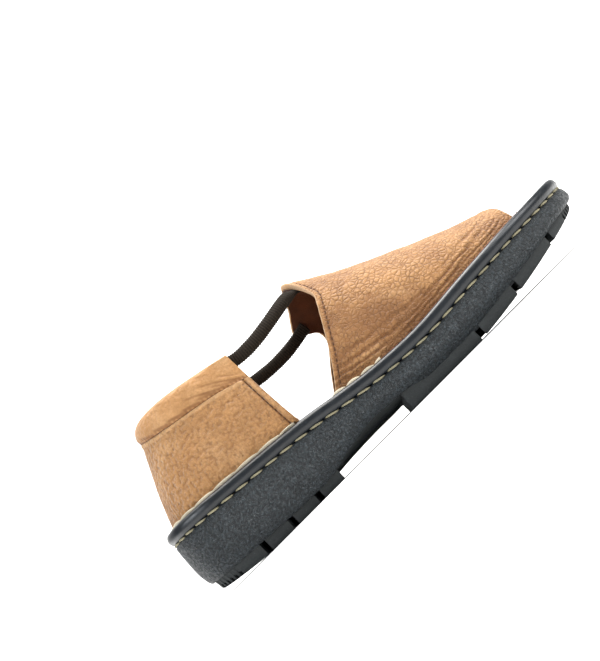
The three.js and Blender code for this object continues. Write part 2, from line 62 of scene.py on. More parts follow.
# Outsole and welt
LENGTH = 0.260
HEEL_WIDTH = 0.067
BALL_WIDTH = 0.0925
SOLE_HEIGHT = 0.0335
TOE_SPRING = 0.0168
HEEL_LIFT = 0.0043
LUG_DEPTH = 0.0046
GROOVE_WIDTH = 0.003
FINE_LINE = 0.0006  # between two lugs of a row
RIB_PITCH = 0.0032
RIB_GAP = 0.0015
RIB_DEPTH = 0.0019
TREAD_INSET = 0.0034
TREAD_BEVEL = 0.0008
STITCH_GROOVE = 0.0026
SIDE_SHOULDER = 0.0013
WELT_HEIGHT = 0.0063
WELT_WIDTH = 0.006

# Upper, insole and straps
CLEARANCE = 0.0003
LEATHER_WALL = 0.0024
INSTEP_HEIGHT = 0.0886
COLLAR_HEIGHT = 0.087
COLLAR_PUFF = 0.0058
QUARTER_BULGE = 0.0028
HEEL_BULGE = 0.0014
INSOLE_THICKNESS = 0.0048
INSOLE_RIM = 0.0011
HEEL_CUP = 0.0016
ARCH_RISE = 0.0026
ARCH_AT = 0.42
ARCH_REACH = 0.14
STRAP_HEIGHT = 0.0069
STRAP_THICKNESS = 0.0054
STRAP_END_THICKNESS = 0.0024
STRAP_SEWN_LENGTH = 0.007
STRAP_TAPER = 0.009

# Seams: how far in from the edge they are sewn, and a small stitch's share of its pitch
THROAT_SEAM = 0.0028
FRONT_SEAM = 0.0035
GATHER_PITCH = 0.0022
TOPSTITCH_SHOWN = 0.72
TOPSTITCH_SIZE = 0.0005
TOPSTITCH_SINK = 0.00035
STITCH_STEPS = (-1, -0.82, -0.45, 0, 0.45, 0.82, 1)


def rows(columns, *values):
    """A table with named columns."""
    names = columns.split()
    return [dict(zip(names, row)) for row in values]


# Half widths of the welt's outer edge, as shares of the heel's or the ball's width
OUTLINE_ROWS = rows(
    "along medial lateral of",
    (0.012, 0.19, 0.19, HEEL_WIDTH),
    (0.045, 0.36, 0.37, HEEL_WIDTH),
    (0.105, 0.465, 0.485, HEEL_WIDTH),
    (0.19, 0.49, 0.51, HEEL_WIDTH),
    (0.29, 0.475, 0.52, HEEL_WIDTH),
    (0.4, 0.335, 0.4, BALL_WIDTH),
    (0.5, 0.38, 0.455, BALL_WIDTH),
    (0.6, 0.445, 0.497, BALL_WIDTH),
    (0.673, 0.48, 0.503, BALL_WIDTH),
    (0.731, 0.497, 0.492, BALL_WIDTH),
    (0.808, 0.5, 0.452, BALL_WIDTH),
    (0.885, 0.457, 0.373, BALL_WIDTH),
    (0.942, 0.378, 0.27, BALL_WIDTH),
    (0.977, 0.272, 0.15, BALL_WIDTH),
    (0.995, 0.16, 0.035, BALL_WIDTH),
)
TOE_TIP_SIDE = 0.065

# Side view of the outsole, as shares of its height
SIDE_ROWS = rows(
    "along groove foot keel",
    (0, 0.995, 0.262, 0),
    (0.12, 0.918, 0.19, 0),
    (0.235, 0.845, 0.139, 0),
    (0.3, 0.797, 0.148, 0.04),
    (0.35, 0.748, 0.235, 0.105),
    (0.41, 0.668, 0.3, 0.155),
    (0.48, 0.592, 0.268, 0.12),
    (0.575, 0.555, 0.23, 0),
    (0.69, 0.618, 0.278, 0),
    (0.8, 0.678, 0.356, 0),
    (0.9, 0.725, 0.452, 0),
    (1, 0.79, 0.56, 0),
)
HEEL_FLAT_START = 0.14
FOREFOOT_FLAT_END = 0.608
HEEL_LIFT_CURVE = 1.25
TOE_SPRING_CURVE = 1.5

# Zigzag lines across the tread: stations at four places from medial to lateral
ZIGZAG_PLACES = (0.62, 0.16, -0.2, -0.62)
ZIGZAG = "medial inner_medial inner_lateral lateral"
HEEL_LINES = rows(
    ZIGZAG,
    (0.078, 0.088, 0.136, 0.128),
    (0.158, 0.138, 0.2, 0.188),
    (0.232, 0.212, 0.262, 0.25),
    (0.311, 0.311, 0.311, 0.311),
)
FOREFOOT_LINES = rows(
    ZIGZAG,
    (0.515, 0.54, 0.475, 0.48),
    (0.7, 0.66, 0.668, 0.632),
    (0.81, 0.77, 0.766, 0.734),
    (0.91, 0.876, 0.872, 0.85),
)
RIB_PADS = rows(
    "first count turn ahead",
    (0.905, 9, 12, True),
    (0.013, 8, -17, False),
)

# Sections of the vamp, and the stations of its two open edges
VAMP_ROWS = rows(
    "along top ridge square",
    (0.378, 1.11, 0, 2.25),
    (0.477, 1, 0.005, 2.3),
    (0.53, 0.91, 0.015, 2.3),
    (0.6, 0.799, 0.025, 2.35),
    (0.67, 0.703, 0.035, 2.42),
    (0.74, 0.614, 0.045, 2.42),
    (0.8, 0.55, 0.055, 2.45),
    (0.87, 0.489, 0.06, 2.45),
)
VAMP_EDGE_ROWS = rows(
    "rise throat_lateral throat_medial toe_lateral toe_medial",
    (0, 0.378, 0.378, 0.855, 0.87),
    (0.1, 0.402, 0.402, 0.853, 0.866),
    (0.3, 0.438, 0.438, 0.851, 0.861),
    (0.5, 0.467, 0.4745, 0.85, 0.857),
    (0.57, 0.4765, 0.4795, 0.85, 0.855),
    (0.625, 0.4835, 0.473, 0.85, 0.854),
    (0.65, 0.487, 0.447, 0.85, 0.853),
    (0.68, 0.4905, 0.438, 0.85, 0.852),
    (0.77, 0.5, 0.449, 0.849, 0.85),
    (0.85, 0.4985, 0.4615, 0.847, 0.848),
    (0.93, 0.491, 0.47, 0.844, 0.845),
    (1, 0.478, 0.478, 0.84, 0.84),
)

# The top line and the collar's seam, round the heel from the lateral front edge to the medial one
QUARTER_FRONT = 0.332
HEEL_ROWS = rows(
    "around at aside top seam",
    (0, 0.312, -0.415, 0.905, 0.725),
    (0.13, 0.247, -0.415, 0.945, 0.785),
    (0.26, 0.177, -0.38, 0.983, 0.83),
    (0.36, 0.128, -0.29, 1, 0.868),
    (0.44, 0.105, -0.155, 1, 0.9),
    (0.5, 0.099, 0, 0.995, 0.91),
    (0.56, 0.105, 0.155, 1, 0.9),
    (0.64, 0.128, 0.29, 1, 0.868),
    (0.74, 0.177, 0.38, 0.983, 0.83),
    (0.87, 0.247, 0.41, 0.945, 0.785),
    (1, 0.312, 0.41, 0.905, 0.725),
)
COLLAR_SECTION = rows(
    "rise out",
    (0, -0.26),
    (0.025, -0.08),
    (0.07, 0.09),
    (0.16, 0.2),
    (0.4, 0.28),
    (0.68, 0.24),
    (0.9, 0.06),
    (1, -0.3),
    (0.92, -0.6),
    (0.68, -0.74),
    (0.4, -0.72),
    (0.14, -0.58),
    (0.02, -0.42),
)
STRAPS = rows(
    "name side rear front end",
    ("strap_lateral", -1, 0.862, 0.39, 0.46),
    ("strap_medial", 1, 0.78, 0.213, 0.235),
)

CREASE_DEPTH = 1.3  # of the creases and puckers, as a share of the depths in their tables

# Creases of the vamp, in millimetres: stations, heights above the welt at the rear, middle and
# front, depth and width
VAMP_CREASES = rows(
    "side rear front at_rear at_middle at_front depth width",
    (-1, 101, 126, 3.2, 3, 1.8, 0.3, 0.6),
    (-1, 103, 140, 5.8, 5.2, 2.6, 0.42, 0.65),
    (-1, 106, 160, 9.5, 7.4, 4.4, 0.45, 0.7),
    (-1, 112, 134, 8, 6.8, 6.4, 0.22, 0.6),
    (-1, 116, 172, 13.5, 10.5, 7.6, 0.3, 0.8),
    (-1, 132, 150, 13, 12.2, 11, 0.18, 0.9),
    (-1, 138, 196, 2.8, 2.9, 4.2, 0.34, 0.6),
    (-1, 146, 178, 5.2, 4.6, 5.6, 0.24, 0.55),
    (-1, 152, 212, 7.2, 6, 7.2, 0.34, 0.65),
    (-1, 170, 204, 9.6, 9, 10.4, 0.13, 0.7),
    (-1, 176, 219, 2.6, 2.6, 3.6, 0.26, 0.55),
    (-1, 186, 220, 10.8, 9.8, 12, 0.16, 0.7),
    (-1, 192, 219, 5.6, 5.2, 6.4, 0.16, 0.55),
    (-1, 200, 220, 15, 14, 17, 0.1, 0.8),
    (1, 104, 150, 7, 5, 3, 0.42, 0.7),
    (1, 112, 140, 11, 9.6, 8, 0.25, 0.7),
    (1, 120, 180, 10.4, 8, 6, 0.38, 0.8),
    (1, 150, 222, 3.6, 3, 4.6, 0.4, 0.65),
    (1, 160, 196, 6.4, 5.6, 6.6, 0.25, 0.6),
    (1, 185, 224, 9, 8.5, 10, 0.3, 0.8),
)

# Puckers of the collar and the quarter, in millimetres: the distance back from the front edge and
# the height from the seam at each end, depth and width. They lie on both sides of the shoe.
COLLAR_PUCKERS = rows(
    "back rise back_end rise_end depth width",
    (2, 1.2, 15, 5.4, 0.3, 0.7),
    (3.5, 0.7, 20, 4.7, 0.3, 0.7),
    (3, 3.6, 13, 7.9, 0.2, 0.7),
    (8.5, 0.7, 25, 3.8, 0.27, 0.7),
    (12, 4.4, 24, 7.6, 0.18, 0.8),
    (15, 0.7, 29, 3.1, 0.24, 0.65),
    (20, 3, 33, 6.2, 0.16, 0.8),
    (23, 0.7, 36, 2.7, 0.22, 0.65),
    (31, 0.7, 44, 2.5, 0.2, 0.7),
    (40, 0.7, 52, 2.2, 0.18, 0.7),
    (51, 0.7, 64, 2.2, 0.17, 0.7),
    (66, 0.7, 80, 2.2, 0.16, 0.7),
)
QUARTER_PUCKERS = rows(
    "back rise back_end rise_end depth width",
    (8, -4.5, 19, -6.2, 0.2, 0.7),
    (9, -11, 22, -14.5, 0.16, 0.9),
    (20, -4, 33, -5.4, 0.18, 0.8),
    (27, -19, 39, -17, 0.16, 1),
    (44, -9, 56, -13, 0.16, 1),
    (60, -23, 72, -20, 0.15, 1.1),
    (9, -31, 22, -34.5, 0.24, 0.8),
    (16, -34.5, 31, -37.5, 0.24, 0.8),
    (29, -36, 45, -39.5, 0.24, 0.8),
    (42, -38.5, 60, -41, 0.22, 0.9),
    (58, -40, 76, -42.5, 0.2, 0.9),
)


def lerp(start, end, share):
    return start + (end - start) * share


def clamp(value, low=0.0, high=1.0):
    return min(max(value, low), high)


def smoothstep(value, low, high):
    share = clamp((value - low) / (high - low))
    return share * share * (3 - 2 * share)


def reader(table, key, column):
    """A smooth curve through one column of a table, as a function of its key."""
    keys = [row[key] for row in table]
    values = [row[column] for row in table]
    last = len(table) - 1
    slopes = []
    for i in range(last + 1):
        low, high = max(i - 1, 0), min(i + 1, last)
        slopes.append((values[high] - values[low]) / (keys[high] - keys[low]))

    def read(at):
        i = int(clamp(bisect_right(keys, at) - 1, 0, last - 1))
        span = keys[i + 1] - keys[i]
        t = clamp((at - keys[i]) / span)
        bend = span * t * (1 - t) * (slopes[i] * (1 - t) - slopes[i + 1] * t)
        return lerp(values[i], values[i + 1], t * t * (3 - 2 * t)) + bend

    return read


# Outline of the welt, from the back of the heel along the medial side to the toe and back
def trace_outline(steps_between=80):
    """Closely spaced points on a closed curve through the outline's rows, and the way travelled."""
    knots = [Vector((0, 0))]
    knots += [Vector((r["along"] * LENGTH, r["medial"] * r["of"])) for r in OUTLINE_ROWS]
    knots += [Vector((LENGTH, TOE_TIP_SIDE * BALL_WIDTH))]
    knots += [
        Vector((r["along"] * LENGTH, -r["lateral"] * r["of"])) for r in reversed(OUTLINE_ROWS)
    ]
    points = []
    for i in range(len(knots)):
        a, b, c, d = (knots[(i + k) % len(knots)] for k in (-1, 0, 1, 2))
        before, here, after = (math.sqrt((q - p).length) for p, q in ((a, b), (b, c), (c, d)))
        leaving = ((b - a) / before - (c - a) / (before + here) + (c - b) / here) * here
        arriving = ((c - b) / here - (d - b) / (here + after) + (d - c) / after) * here
        square = 3 * (c - b) - 2 * leaving - arriving
        cube = 2 * (b - c) + leaving + arriving
        for k in range(steps_between):
            t = k / steps_between
            points.append(b + leaving * t + square * t * t + cube * t * t * t)
    travelled = [0.0]
    for i in range(len(points)):
        travelled.append(travelled[-1] + (points[(i + 1) % len(points)] - points[i]).length)
    return points, travelled


OUTLINE, TRAVELLED = trace_outline()
GIRTH = TRAVELLED[-1]


def heading(i):
    count = len(OUTLINE)
    return (OUTLINE[(i + 1) % count] - OUTLINE[(i - 1) % count]).normalized()


def inset_point(share, inset, z=0.0):
    """The point at a share of the outline's length, moved inwards."""
    distance = (share % 1) * GIRTH
    i = bisect_right(TRAVELLED, distance) - 1
    part = (distance - TRAVELLED[i]) / (TRAVELLED[i + 1] - TRAVELLED[i])
    point = OUTLINE[i].lerp(OUTLINE[(i + 1) % len(OUTLINE)], part)
    along = heading(i).lerp(heading(i + 1), part)
    return Vector((point.x + along.y * inset, point.y - along.x * inset, z))


def side_reader(inset, steps=1800):
    """Reads the y of an inset outline at a station, on the medial (1) or lateral (-1) side."""
    points = [inset_point(i / steps, inset) for i in range(steps)]
    tip = max(range(steps), key=lambda i: points[i].x)
    runs = {1: points[: tip + 1], -1: [*points[tip:], points[0]][::-1]}
    stations = {side: [p.x for p in run] for side, run in runs.items()}

    def read(x, side):
        run = runs[side]
        i = int(clamp(bisect_right(stations[side], x), 1, len(run) - 1))
        start, end = run[i - 1], run[i]
        return lerp(start.y, end.y, clamp((x - start.x) / max(end.x - start.x, 1e-9)))

    return read


def outline_share(x, side):
    """How far round the outline a station lies, as a share of its length."""
    near, far = 0.0, 0.45
    for _ in range(30):
        middle = (near + far) / 2
        if inset_point(side * middle, 0).x < x:
            near = middle
        else:
            far = middle
    return near


GROOVE, FOOT, KEEL = (reader(SIDE_ROWS, "along", column) for column in ("groove", "foot", "keel"))


def groove_level(x):
    return SOLE_HEIGHT * GROOVE(x / LENGTH)


def foot_level(x):
    return SOLE_HEIGHT * FOOT(x / LENGTH)


def keel_depth(x):
    return SOLE_HEIGHT * KEEL(x / LENGTH)


def seat_level(x):
    return groove_level(x) + CLEARANCE


def tread_level(x):
    behind = max(0, HEEL_FLAT_START - x / LENGTH) / HEEL_FLAT_START
    ahead = max(0, x / LENGTH - FOREFOOT_FLAT_END) / (1 - FOREFOOT_FLAT_END)
    return HEEL_LIFT * behind**HEEL_LIFT_CURVE + TOE_SPRING * ahead**TOE_SPRING_CURVE


def root_level(x):
    """The underside that the lugs stand on."""
    rear = FOREFOOT_LINES[0]
    under_ball = smoothstep(x / LENGTH, rear["inner_lateral"], rear["inner_medial"])
    drop = max(0, foot_level(x) - tread_level(x) - LUG_DEPTH)
    return foot_level(x) - drop * under_ball


# Faces of the upper
UPPER_SIDE = side_reader(WELT_WIDTH + CLEARANCE)
VAMP_TOP, VAMP_RIDGE, VAMP_SQUARE = (
    reader(VAMP_ROWS, "along", column) for column in ("top", "ridge", "square")
)
VAMP_EDGES = {
    column: reader(VAMP_EDGE_ROWS, "rise", column)
    for column in ("throat_lateral", "throat_medial", "toe_lateral", "toe_medial")
}


def vamp_point(along, around):
    """The vamp's outer face: from throat (0) to toe (1), and from lateral (0) to medial (1)."""
    turn = math.pi * clamp(around)
    side = "medial" if around > 0.5 else "lateral"
    rise = max(math.sin(turn), 0) ** (2 / 2.3)
    throat = VAMP_EDGES["throat_" + side](rise)
    x = lerp(throat, VAMP_EDGES["toe_" + side](rise), along) * LENGTH
    power = 2 / VAMP_SQUARE(x / LENGTH)
    foot = UPPER_SIDE(x, 1 if around > 0.5 else -1)
    y = lerp(VAMP_RIDGE(x / LENGTH) * BALL_WIDTH, foot, abs(math.cos(turn)) ** power)
    top = VAMP_TOP(x / LENGTH) * INSTEP_HEIGHT
    z = lerp(seat_level(x), top, max(math.sin(turn), 0) ** power)
    return Vector((x, y, z))


HEEL_AT, HEEL_ASIDE, HEEL_TOP, HEEL_SEAM = (
    reader(HEEL_ROWS, "around", column) for column in ("at", "aside", "top", "seam")
)
HEEL_ARC = {side: outline_share(QUARTER_FRONT * LENGTH, side) for side in (-1, 1)}


def heel_point(up, around):
    """The heel's outer face: from the welt (0) to the top line (1), around as the vamp."""
    share = (2 * around - 1) * HEEL_ARC[-1 if around < 0.5 else 1]
    base = inset_point(share, WELT_WIDTH + CLEARANCE)
    base.z = seat_level(base.x)
    top = Vector((
        HEEL_AT(around) * LENGTH,
        HEEL_ASIDE(around) * HEEL_WIDTH,
        HEEL_TOP(around) * COLLAR_HEIGHT,
    ))
    welted = WELT_HEIGHT / (top.z - base.z)
    above = max(0, up - welted) / (1 - welted)
    cut_back = lerp(above, max(up, 0) ** 0.4, abs(2 * around - 1) ** 4)
    swell = math.sin(math.pi * math.sqrt(above))
    return Vector((
        lerp(base.x, top.x, cut_back) - HEEL_BULGE * swell * math.sin(math.pi * around) ** 4,
        lerp(base.y, top.y, above) - QUARTER_BULGE * swell * math.cos(math.pi * around),
        lerp(base.z, top.z, up),
    ))


def up_at(height, around):
    """How far up the heel's face a height lies."""
    base = heel_point(0, around).z
    return (height - base) / (heel_point(1, around).z - base)


@lru_cache(maxsize=None)
def seam_up(around):
    return up_at(HEEL_SEAM(around) * COLLAR_HEIGHT, around)


def face_normal(face, a, b, step=2e-3):
    low_a, high_a = max(a - step, 0), min(a + step, 1)
    low_b, high_b = max(b - step, 0), min(b + step, 1)
    along_a = face(high_a, b) - face(low_a, b)
    along_b = face(a, high_b) - face(a, low_b)
    return along_a.cross(along_b).normalized()


# Relief
def crease(distance, width):
    """Across a crease: a soft trough of depth 1 between two low ridges."""
    d = abs(distance) / width
    return 0.35 * math.exp(-((d - 1.9) ** 2)) - math.exp(-d * d)


def unevenness(place, size, turns=2):
    """Soft swells and dips of about that size, from -1 to 1."""
    return noise.fractal(place / size, 1.0, 2.0, turns)


def vamp_relief(point, side, from_throat, from_toe):
    """How far the worn and stitched vamp stands off its smooth face."""
    height = point.z - seat_level(point.x) - WELT_HEIGHT
    off = 0.45 * MM * unevenness(point, 20 * MM) + 0.14 * MM * unevenness(point, 5 * MM)
    for row in VAMP_CREASES:
        if row["side"] != side:
            continue
        share = (point.x / MM - row["rear"]) / (row["front"] - row["rear"])
        if not 0 < share < 1:
            continue
        bow = 4 * share * (1 - share)
        straight = lerp(row["at_rear"], row["at_front"], share)
        bowed = row["at_middle"] - (row["at_rear"] + row["at_front"]) / 2
        wander = 0.8 * noise.noise(point / (6 * MM))
        level = (straight + bow * bowed + wander) * MM
        fade = smoothstep(min(share, 1 - share), 0, 0.22)
        off += CREASE_DEPTH * row["depth"] * MM * fade * crease(height - level, row["width"] * MM)
    border = math.exp(-(((from_throat - 1.1 * MM) / (1.0 * MM)) ** 2))
    groove = math.exp(-(((from_throat - THROAT_SEAM) / (0.55 * MM)) ** 2))
    behind_toe = math.exp(-(((from_toe - 1 * MM) / (1.1 * MM)) ** 2))
    return off + (0.28 * border - 0.4 * groove + 0.12 * behind_toe) * MM


def pucker_relief(table, back, rise):
    """The puckers of a table at a distance back from the front edge and up from the seam."""
    off = 0.0
    for row in table:
        start = Vector((row["back"] * MM, row["rise"] * MM))
        run = Vector((row["back_end"] * MM, row["rise_end"] * MM)) - start
        to = Vector((back, rise)) - start
        share = to.dot(run) / run.length_squared
        if not -0.1 < share < 1.1:
            continue
        fade = smoothstep(min(share, 1 - share), -0.1, 0.3)
        across = (to - run * share).length
        off += CREASE_DEPTH * row["depth"] * MM * fade * crease(across, row["width"] * MM)
    return off


# Meshes
WALL_EDGE_POINTS = 5  # across each cut edge of a wall


def new_mesh():
    mesh = bmesh.new()
    mesh.loops.layers.uv.new("surface")
    # This float layer tells how much to paint on each point: painted shade in creases, puckers,
    # seams and rib valleys (positive), painted highlight on raised lips and below the collar's seam
    # (negative), and darkening near the welt on the vamp and quarter that is partly painted shade
    # and partly soiling.
    mesh.verts.layers.float.new("painted_shading_and_soil")
    return mesh


def skin(mesh, rings, looped=False, shading_and_soil_values=None, material_of=None):
    """Joins runs of points, one after the other, with faces. looped closes each run."""
    lengthwise = len(rings) - 1
    across = len(rings[0]) - (0 if looped else 1)
    made = bmesh.ops.create_grid(
        mesh, x_segments=lengthwise, y_segments=across, size=0.5, calc_uvs=True
    )
    painted_shading_and_soil = mesh.verts.layers.float["painted_shading_and_soil"]
    if material_of:
        for face in {face for vert in made["verts"] for face in vert.link_faces}:
            middle = face.calc_center_median()
            face.material_index = material_of(middle.x + 0.5, middle.y + 0.5)
    for vert in made["verts"]:
        i = round((vert.co.x + 0.5) * lengthwise)
        j = round((vert.co.y + 0.5) * across) % len(rings[0])
        vert.co = rings[i][j]
        if shading_and_soil_values:
            vert[painted_shading_and_soil] = shading_and_soil_values[i][j]
    bmesh.ops.remove_doubles(mesh, verts=made["verts"], dist=1e-6)


def close_ends(mesh):
    edges = [edge for edge in mesh.edges if edge.is_boundary]
    if edges:
        bmesh.ops.holes_fill(mesh, edges=edges, sides=0)


def finish_piece(name, mesh, materials, replaced=(), sharp=None):
    """Makes a mesh a piece of the shoe, in its place."""
    bmesh.ops.recalc_face_normals(mesh, faces=mesh.faces)
    bmesh.ops.translate(mesh, verts=mesh.verts, vec=SHIFT)
    data = bpy.data.meshes.new(name)
    mesh.to_mesh(data)
    mesh.free()
    data.shade_smooth()
    if sharp is not None:
        data.set_sharp_from_angle(angle=sharp)
    for material in materials:
        data.materials.append(material)
    piece = bpy.data.objects.new(name, data)
    bpy.context.scene.collection.objects.link(piece)
    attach(piece, "root")
    if replaced:
        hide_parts(*replaced)
    return piece


def sole_ring(inset, level, steps=420, crowding=0.35):
    """A ring round the sole, moved inwards from the outline. level, and inset if it can be called,
    follow the station."""
    ring = []
    for i in range(steps):
        turn = i / steps
        share = turn - crowding * math.sin(4 * math.pi * turn) / (4 * math.pi)
        distance = inset(inset_point(share, 0).x) if callable(inset) else inset
        point = inset_point(share, distance)
        point.z = level(point.x)
        ring.append(point)
    return ring


def closing_rings(edge, level, steps=5):
    """Rings that draw an edge in to the line half way between the sole's two sides."""
    middle = [point.lerp(edge[-j % len(edge)], 0.5) for j, point in enumerate(edge)]
    rings = []
    for i in range(steps):
        out = (steps - 1 - i) / steps
        ring = [middle[j].lerp(point, out) for j, point in enumerate(edge)]
        for point in ring:
            point.z = level(point.x, out, point.y)
        rings.append(ring)
    return rings


def tube(mesh, centres, ups, sizes, steps=8):
    """Sweeps a circle of changing size along a run of points and closes both ends."""
    rings = []
    for i, centre in enumerate(centres):
        ahead = centres[min(i + 1, len(centres) - 1)] - centres[max(i - 1, 0)]
        out = ahead.normalized().cross(ups[i]).normalized()
        up = out.cross(ahead).normalized()
        ring = []
        for k in range(steps):
            turn = 2 * math.pi * k / steps
            high = up * math.cos(turn) * sizes[i] / 2
            ring.append(centre + (high + out * math.sin(turn) * sizes[i] / 2))
        rings.append(ring)
    skin(mesh, [[centres[0]] * steps, *rings, [centres[-1]] * steps], looped=True)


def wall_section(face, places, relief, nose, shade_and_soil_at):
    """A closed run round a wall: its outer face, one edge, the inside and the other edge.
    Returns the points and, for each, how much painted shade (positive) or painted highlight
    (negative) its colour gets where the relief sinks or stands out. shade_and_soil_at adds the
    darkening or lightening for a point that lies so far above the welt, as painted shade or
    highlight, and on the vamp and quarter partly soiling."""
    points, shading_and_soil_values = [], []
    outer = [face(*place) for place in places]
    normals = [face_normal(face, *place) for place in places]
    offs = [relief(point, *place) for point, place in zip(outer, places)]
    for point, normal, off in zip(outer, normals, offs):
        points.append(point + normal * off)
        above = max(0, point.z - seat_level(point.x) - WELT_HEIGHT)
        # Painted shade where the relief sinks, painted highlight where it stands out, plus the
        # painted shading and soiling given for the height above the welt.
        shading_and_soil_values.append(clamp(-off / (0.6 * MM) + shade_and_soil_at(point, above), -1, 1))

    def bend(end, neighbour, leaves, arrives):
        outward = (outer[end] - outer[neighbour]).normalized()
        for k in range(1, WALL_EDGE_POINTS + 1):
            turn = math.pi * k / (WALL_EDGE_POINTS + 1)
            across = lerp(leaves, arrives, (1 - math.cos(turn)) / 2)
            reach = nose * math.sin(turn) ** 0.7
            points.append(outer[end] + normals[end] * across + outward * reach)
            shading_and_soil_values.append(0)

    bend(-1, -2, offs[-1], -LEATHER_WALL)
    for point, normal in zip(reversed(outer), reversed(normals)):
        inner = point - normal * LEATHER_WALL
        inner.z = max(inner.z, seat_level(inner.x))
        points.append(inner)
        shading_and_soil_values.append(0)
    bend(0, 1, -LEATHER_WALL, offs[0])
    return points, shading_and_soil_values


def crowded(count, crowding):
    """Shares from 0 to 1 that lie closer together near both ends."""
    shares = [i / count for i in range(count + 1)]
    return [s - crowding * math.sin(2 * math.pi * s) / (2 * math.pi) for s in shares]


class Run:
    """A run of points that can be read at a distance along it."""

    def __init__(self, points, normals):
        self.points, self.normals = points, normals
        self.travelled = [0.0]
        for here, there in zip(points, points[1:]):
            self.travelled.append(self.travelled[-1] + (there - here).length)
        self.length = self.travelled[-1]

    def at(self, distance):
        i = int(clamp(bisect_right(self.travelled, distance) - 1, 0, len(self.points) - 2))
        part = (distance - self.travelled[i]) / (self.travelled[i + 1] - self.travelled[i])
        point = self.points[i].lerp(self.points[i + 1], part)
        return point, self.normals[i].lerp(self.normals[i + 1], part).normalized()


def sew(mesh, run, pitch):
    """Lays stitches along a run: each is a short thread whose ends dip into the leather."""
    count = int(run.length / pitch)
    for k in range(count):
        middle = (k + 0.5) * run.length / count
        centres, ups = [], []
        for step in STITCH_STEPS:
            point, normal = run.at(middle + step * pitch * TOPSTITCH_SHOWN / 2)
            centres.append(point - normal * TOPSTITCH_SINK * step**4)
            ups.append(normal)
        sizes = [TOPSTITCH_SIZE * share for share in (0.55, 0.8, 0.97, 1, 0.97, 0.8, 0.55)]
        tube(mesh, centres, ups, sizes)


# Materials
class Wiring:
    """Adds nodes to a tree. An input is a value, or a socket to link."""

    def __init__(self, tree):
        self.tree = tree

    def add(self, kind, inputs=None, **settings):
        node = self.tree.nodes.new(kind)
        for name, value in settings.items():
            setattr(node, name, value)
        for name, value in (inputs or {}).items():
            if isinstance(value, bpy.types.NodeSocket):
                self.tree.links.new(value, node.inputs[name])
            else:
                node.inputs[name].default_value = value
        return node

    def maths(self, operation, first, second=0.0, clamped=False):
        inputs = {0: first, 1: second}
        return self.add("ShaderNodeMath", inputs, operation=operation, use_clamp=clamped).outputs[0]

    def noise(self, place, size, detail=3.0, roughness=0.55):
        inputs = {"Vector": place, "Scale": 1 / size, "Detail": detail, "Roughness": roughness}
        return self.add("ShaderNodeTexNoise", inputs).outputs["Fac"]

    def remap(self, value, low, high, to_low=0.0, to_high=1.0):
        inputs = {"Value": value, "From Min": low, "From Max": high}
        inputs.update({"To Min": to_low, "To Max": to_high})
        made = self.add("ShaderNodeMapRange", inputs, interpolation_type="SMOOTHSTEP")
        return made.outputs["Result"]

    def mix(self, share, first, second):
        node = self.add("ShaderNodeMix", data_type="RGBA", blend_type="MIX")
        for index, value in ((0, share), (6, first), (7, second)):
            socket = node.inputs[index]
            if isinstance(value, bpy.types.NodeSocket):
                self.tree.links.new(value, socket)
            else:
                socket.default_value = value
        return node.outputs[2]


def new_group(name, inputs, outputs):
    """An empty shader node group. Inputs are (name, type, default) and outputs (name, type)."""
    tree = bpy.data.node_groups.new(name, "ShaderNodeTree")
    for socket_name, kind, default in inputs:
        socket = tree.interface.new_socket(socket_name, in_out="INPUT", socket_type=kind)
        if default is not None:
            socket.default_value = default
    for socket_name, kind in outputs:
        tree.interface.new_socket(socket_name, in_out="OUTPUT", socket_type=kind)
    wiring = Wiring(tree)
    return tree, wiring, wiring.add("NodeGroupInput"), wiring.add("NodeGroupOutput")


def pebbled_grain_group():
    """Irregular cells with sunken lines between them, as on tumbled leather or its moulded copy."""
    tree, w, given, out = new_group(
        "Pebbled Grain",
        [
            ("Place", "NodeSocketVector", None),
            ("Cells per Metre", "NodeSocketFloat", 400),
            ("Line Width", "NodeSocketFloat", 0.07),
            ("Wander", "NodeSocketFloat", 0.0011),
        ],
        [(output, "NodeSocketFloat") for output in ("Height", "Lines", "Patches")],
    )
    place = given.outputs["Place"]
    cells = given.outputs["Cells per Metre"]
    width = given.outputs["Line Width"]
    moved = place
    for finer, share in ((0.9, 1.0), (3.2, 0.4)):
        scale = w.maths("MULTIPLY", cells, finer)
        bent = w.add("ShaderNodeTexNoise", {"Vector": place, "Scale": scale, "Detail": 1})
        halves = {0: bent.outputs["Color"], 1: (0.5, 0.5, 0.5)}
        centred = w.add("ShaderNodeVectorMath", halves, operation="SUBTRACT")
        reach = w.maths("MULTIPLY", given.outputs["Wander"], share)
        shift = w.add("ShaderNodeVectorMath", {0: centred.outputs[0]}, operation="SCALE")
        w.tree.links.new(reach, shift.inputs["Scale"])
        shifted = {0: moved, 1: shift.outputs[0]}
        moved = w.add("ShaderNodeVectorMath", shifted, operation="ADD").outputs[0]
    patches = w.noise(place, 13 * MM, detail=3)
    fading = w.remap(w.noise(place, 5 * MM, detail=3), 0.36, 0.6, 0.5, 1)

    def cracks(finer, thin):
        scale = w.maths("MULTIPLY", cells, finer)
        inputs = {"Vector": moved, "Scale": scale}
        cell = w.add("ShaderNodeTexVoronoi", inputs, feature="DISTANCE_TO_EDGE")
        bands = []
        for reach, strength in ((thin, 0.68), (3.6 * thin, 0.32)):
            away = w.remap(cell.outputs[0], 0, w.maths("MULTIPLY", width, reach))
            bands.append(w.maths("MULTIPLY", w.maths("SUBTRACT", 1, away), strength))
        return w.maths("ADD", *bands), cell

    wide, cell = cracks(1.0, 1.0)
    fine, _ = cracks(2.2, 1.5)
    fine = w.maths("MULTIPLY", fine, w.remap(patches, 0.4, 0.62, 0.12, 0.6))
    lines = w.maths("MULTIPLY", w.maths("MAXIMUM", wide, fine), fading)
    dome = w.remap(cell.outputs[0], 0, 0.3, 0, 0.9)
    raised = w.maths("SUBTRACT", dome, w.maths("MULTIPLY", lines, 0.6))
    w.tree.links.new(raised, out.inputs["Height"])
    w.tree.links.new(lines, out.inputs["Lines"])
    w.tree.links.new(patches, out.inputs["Patches"])
    return tree


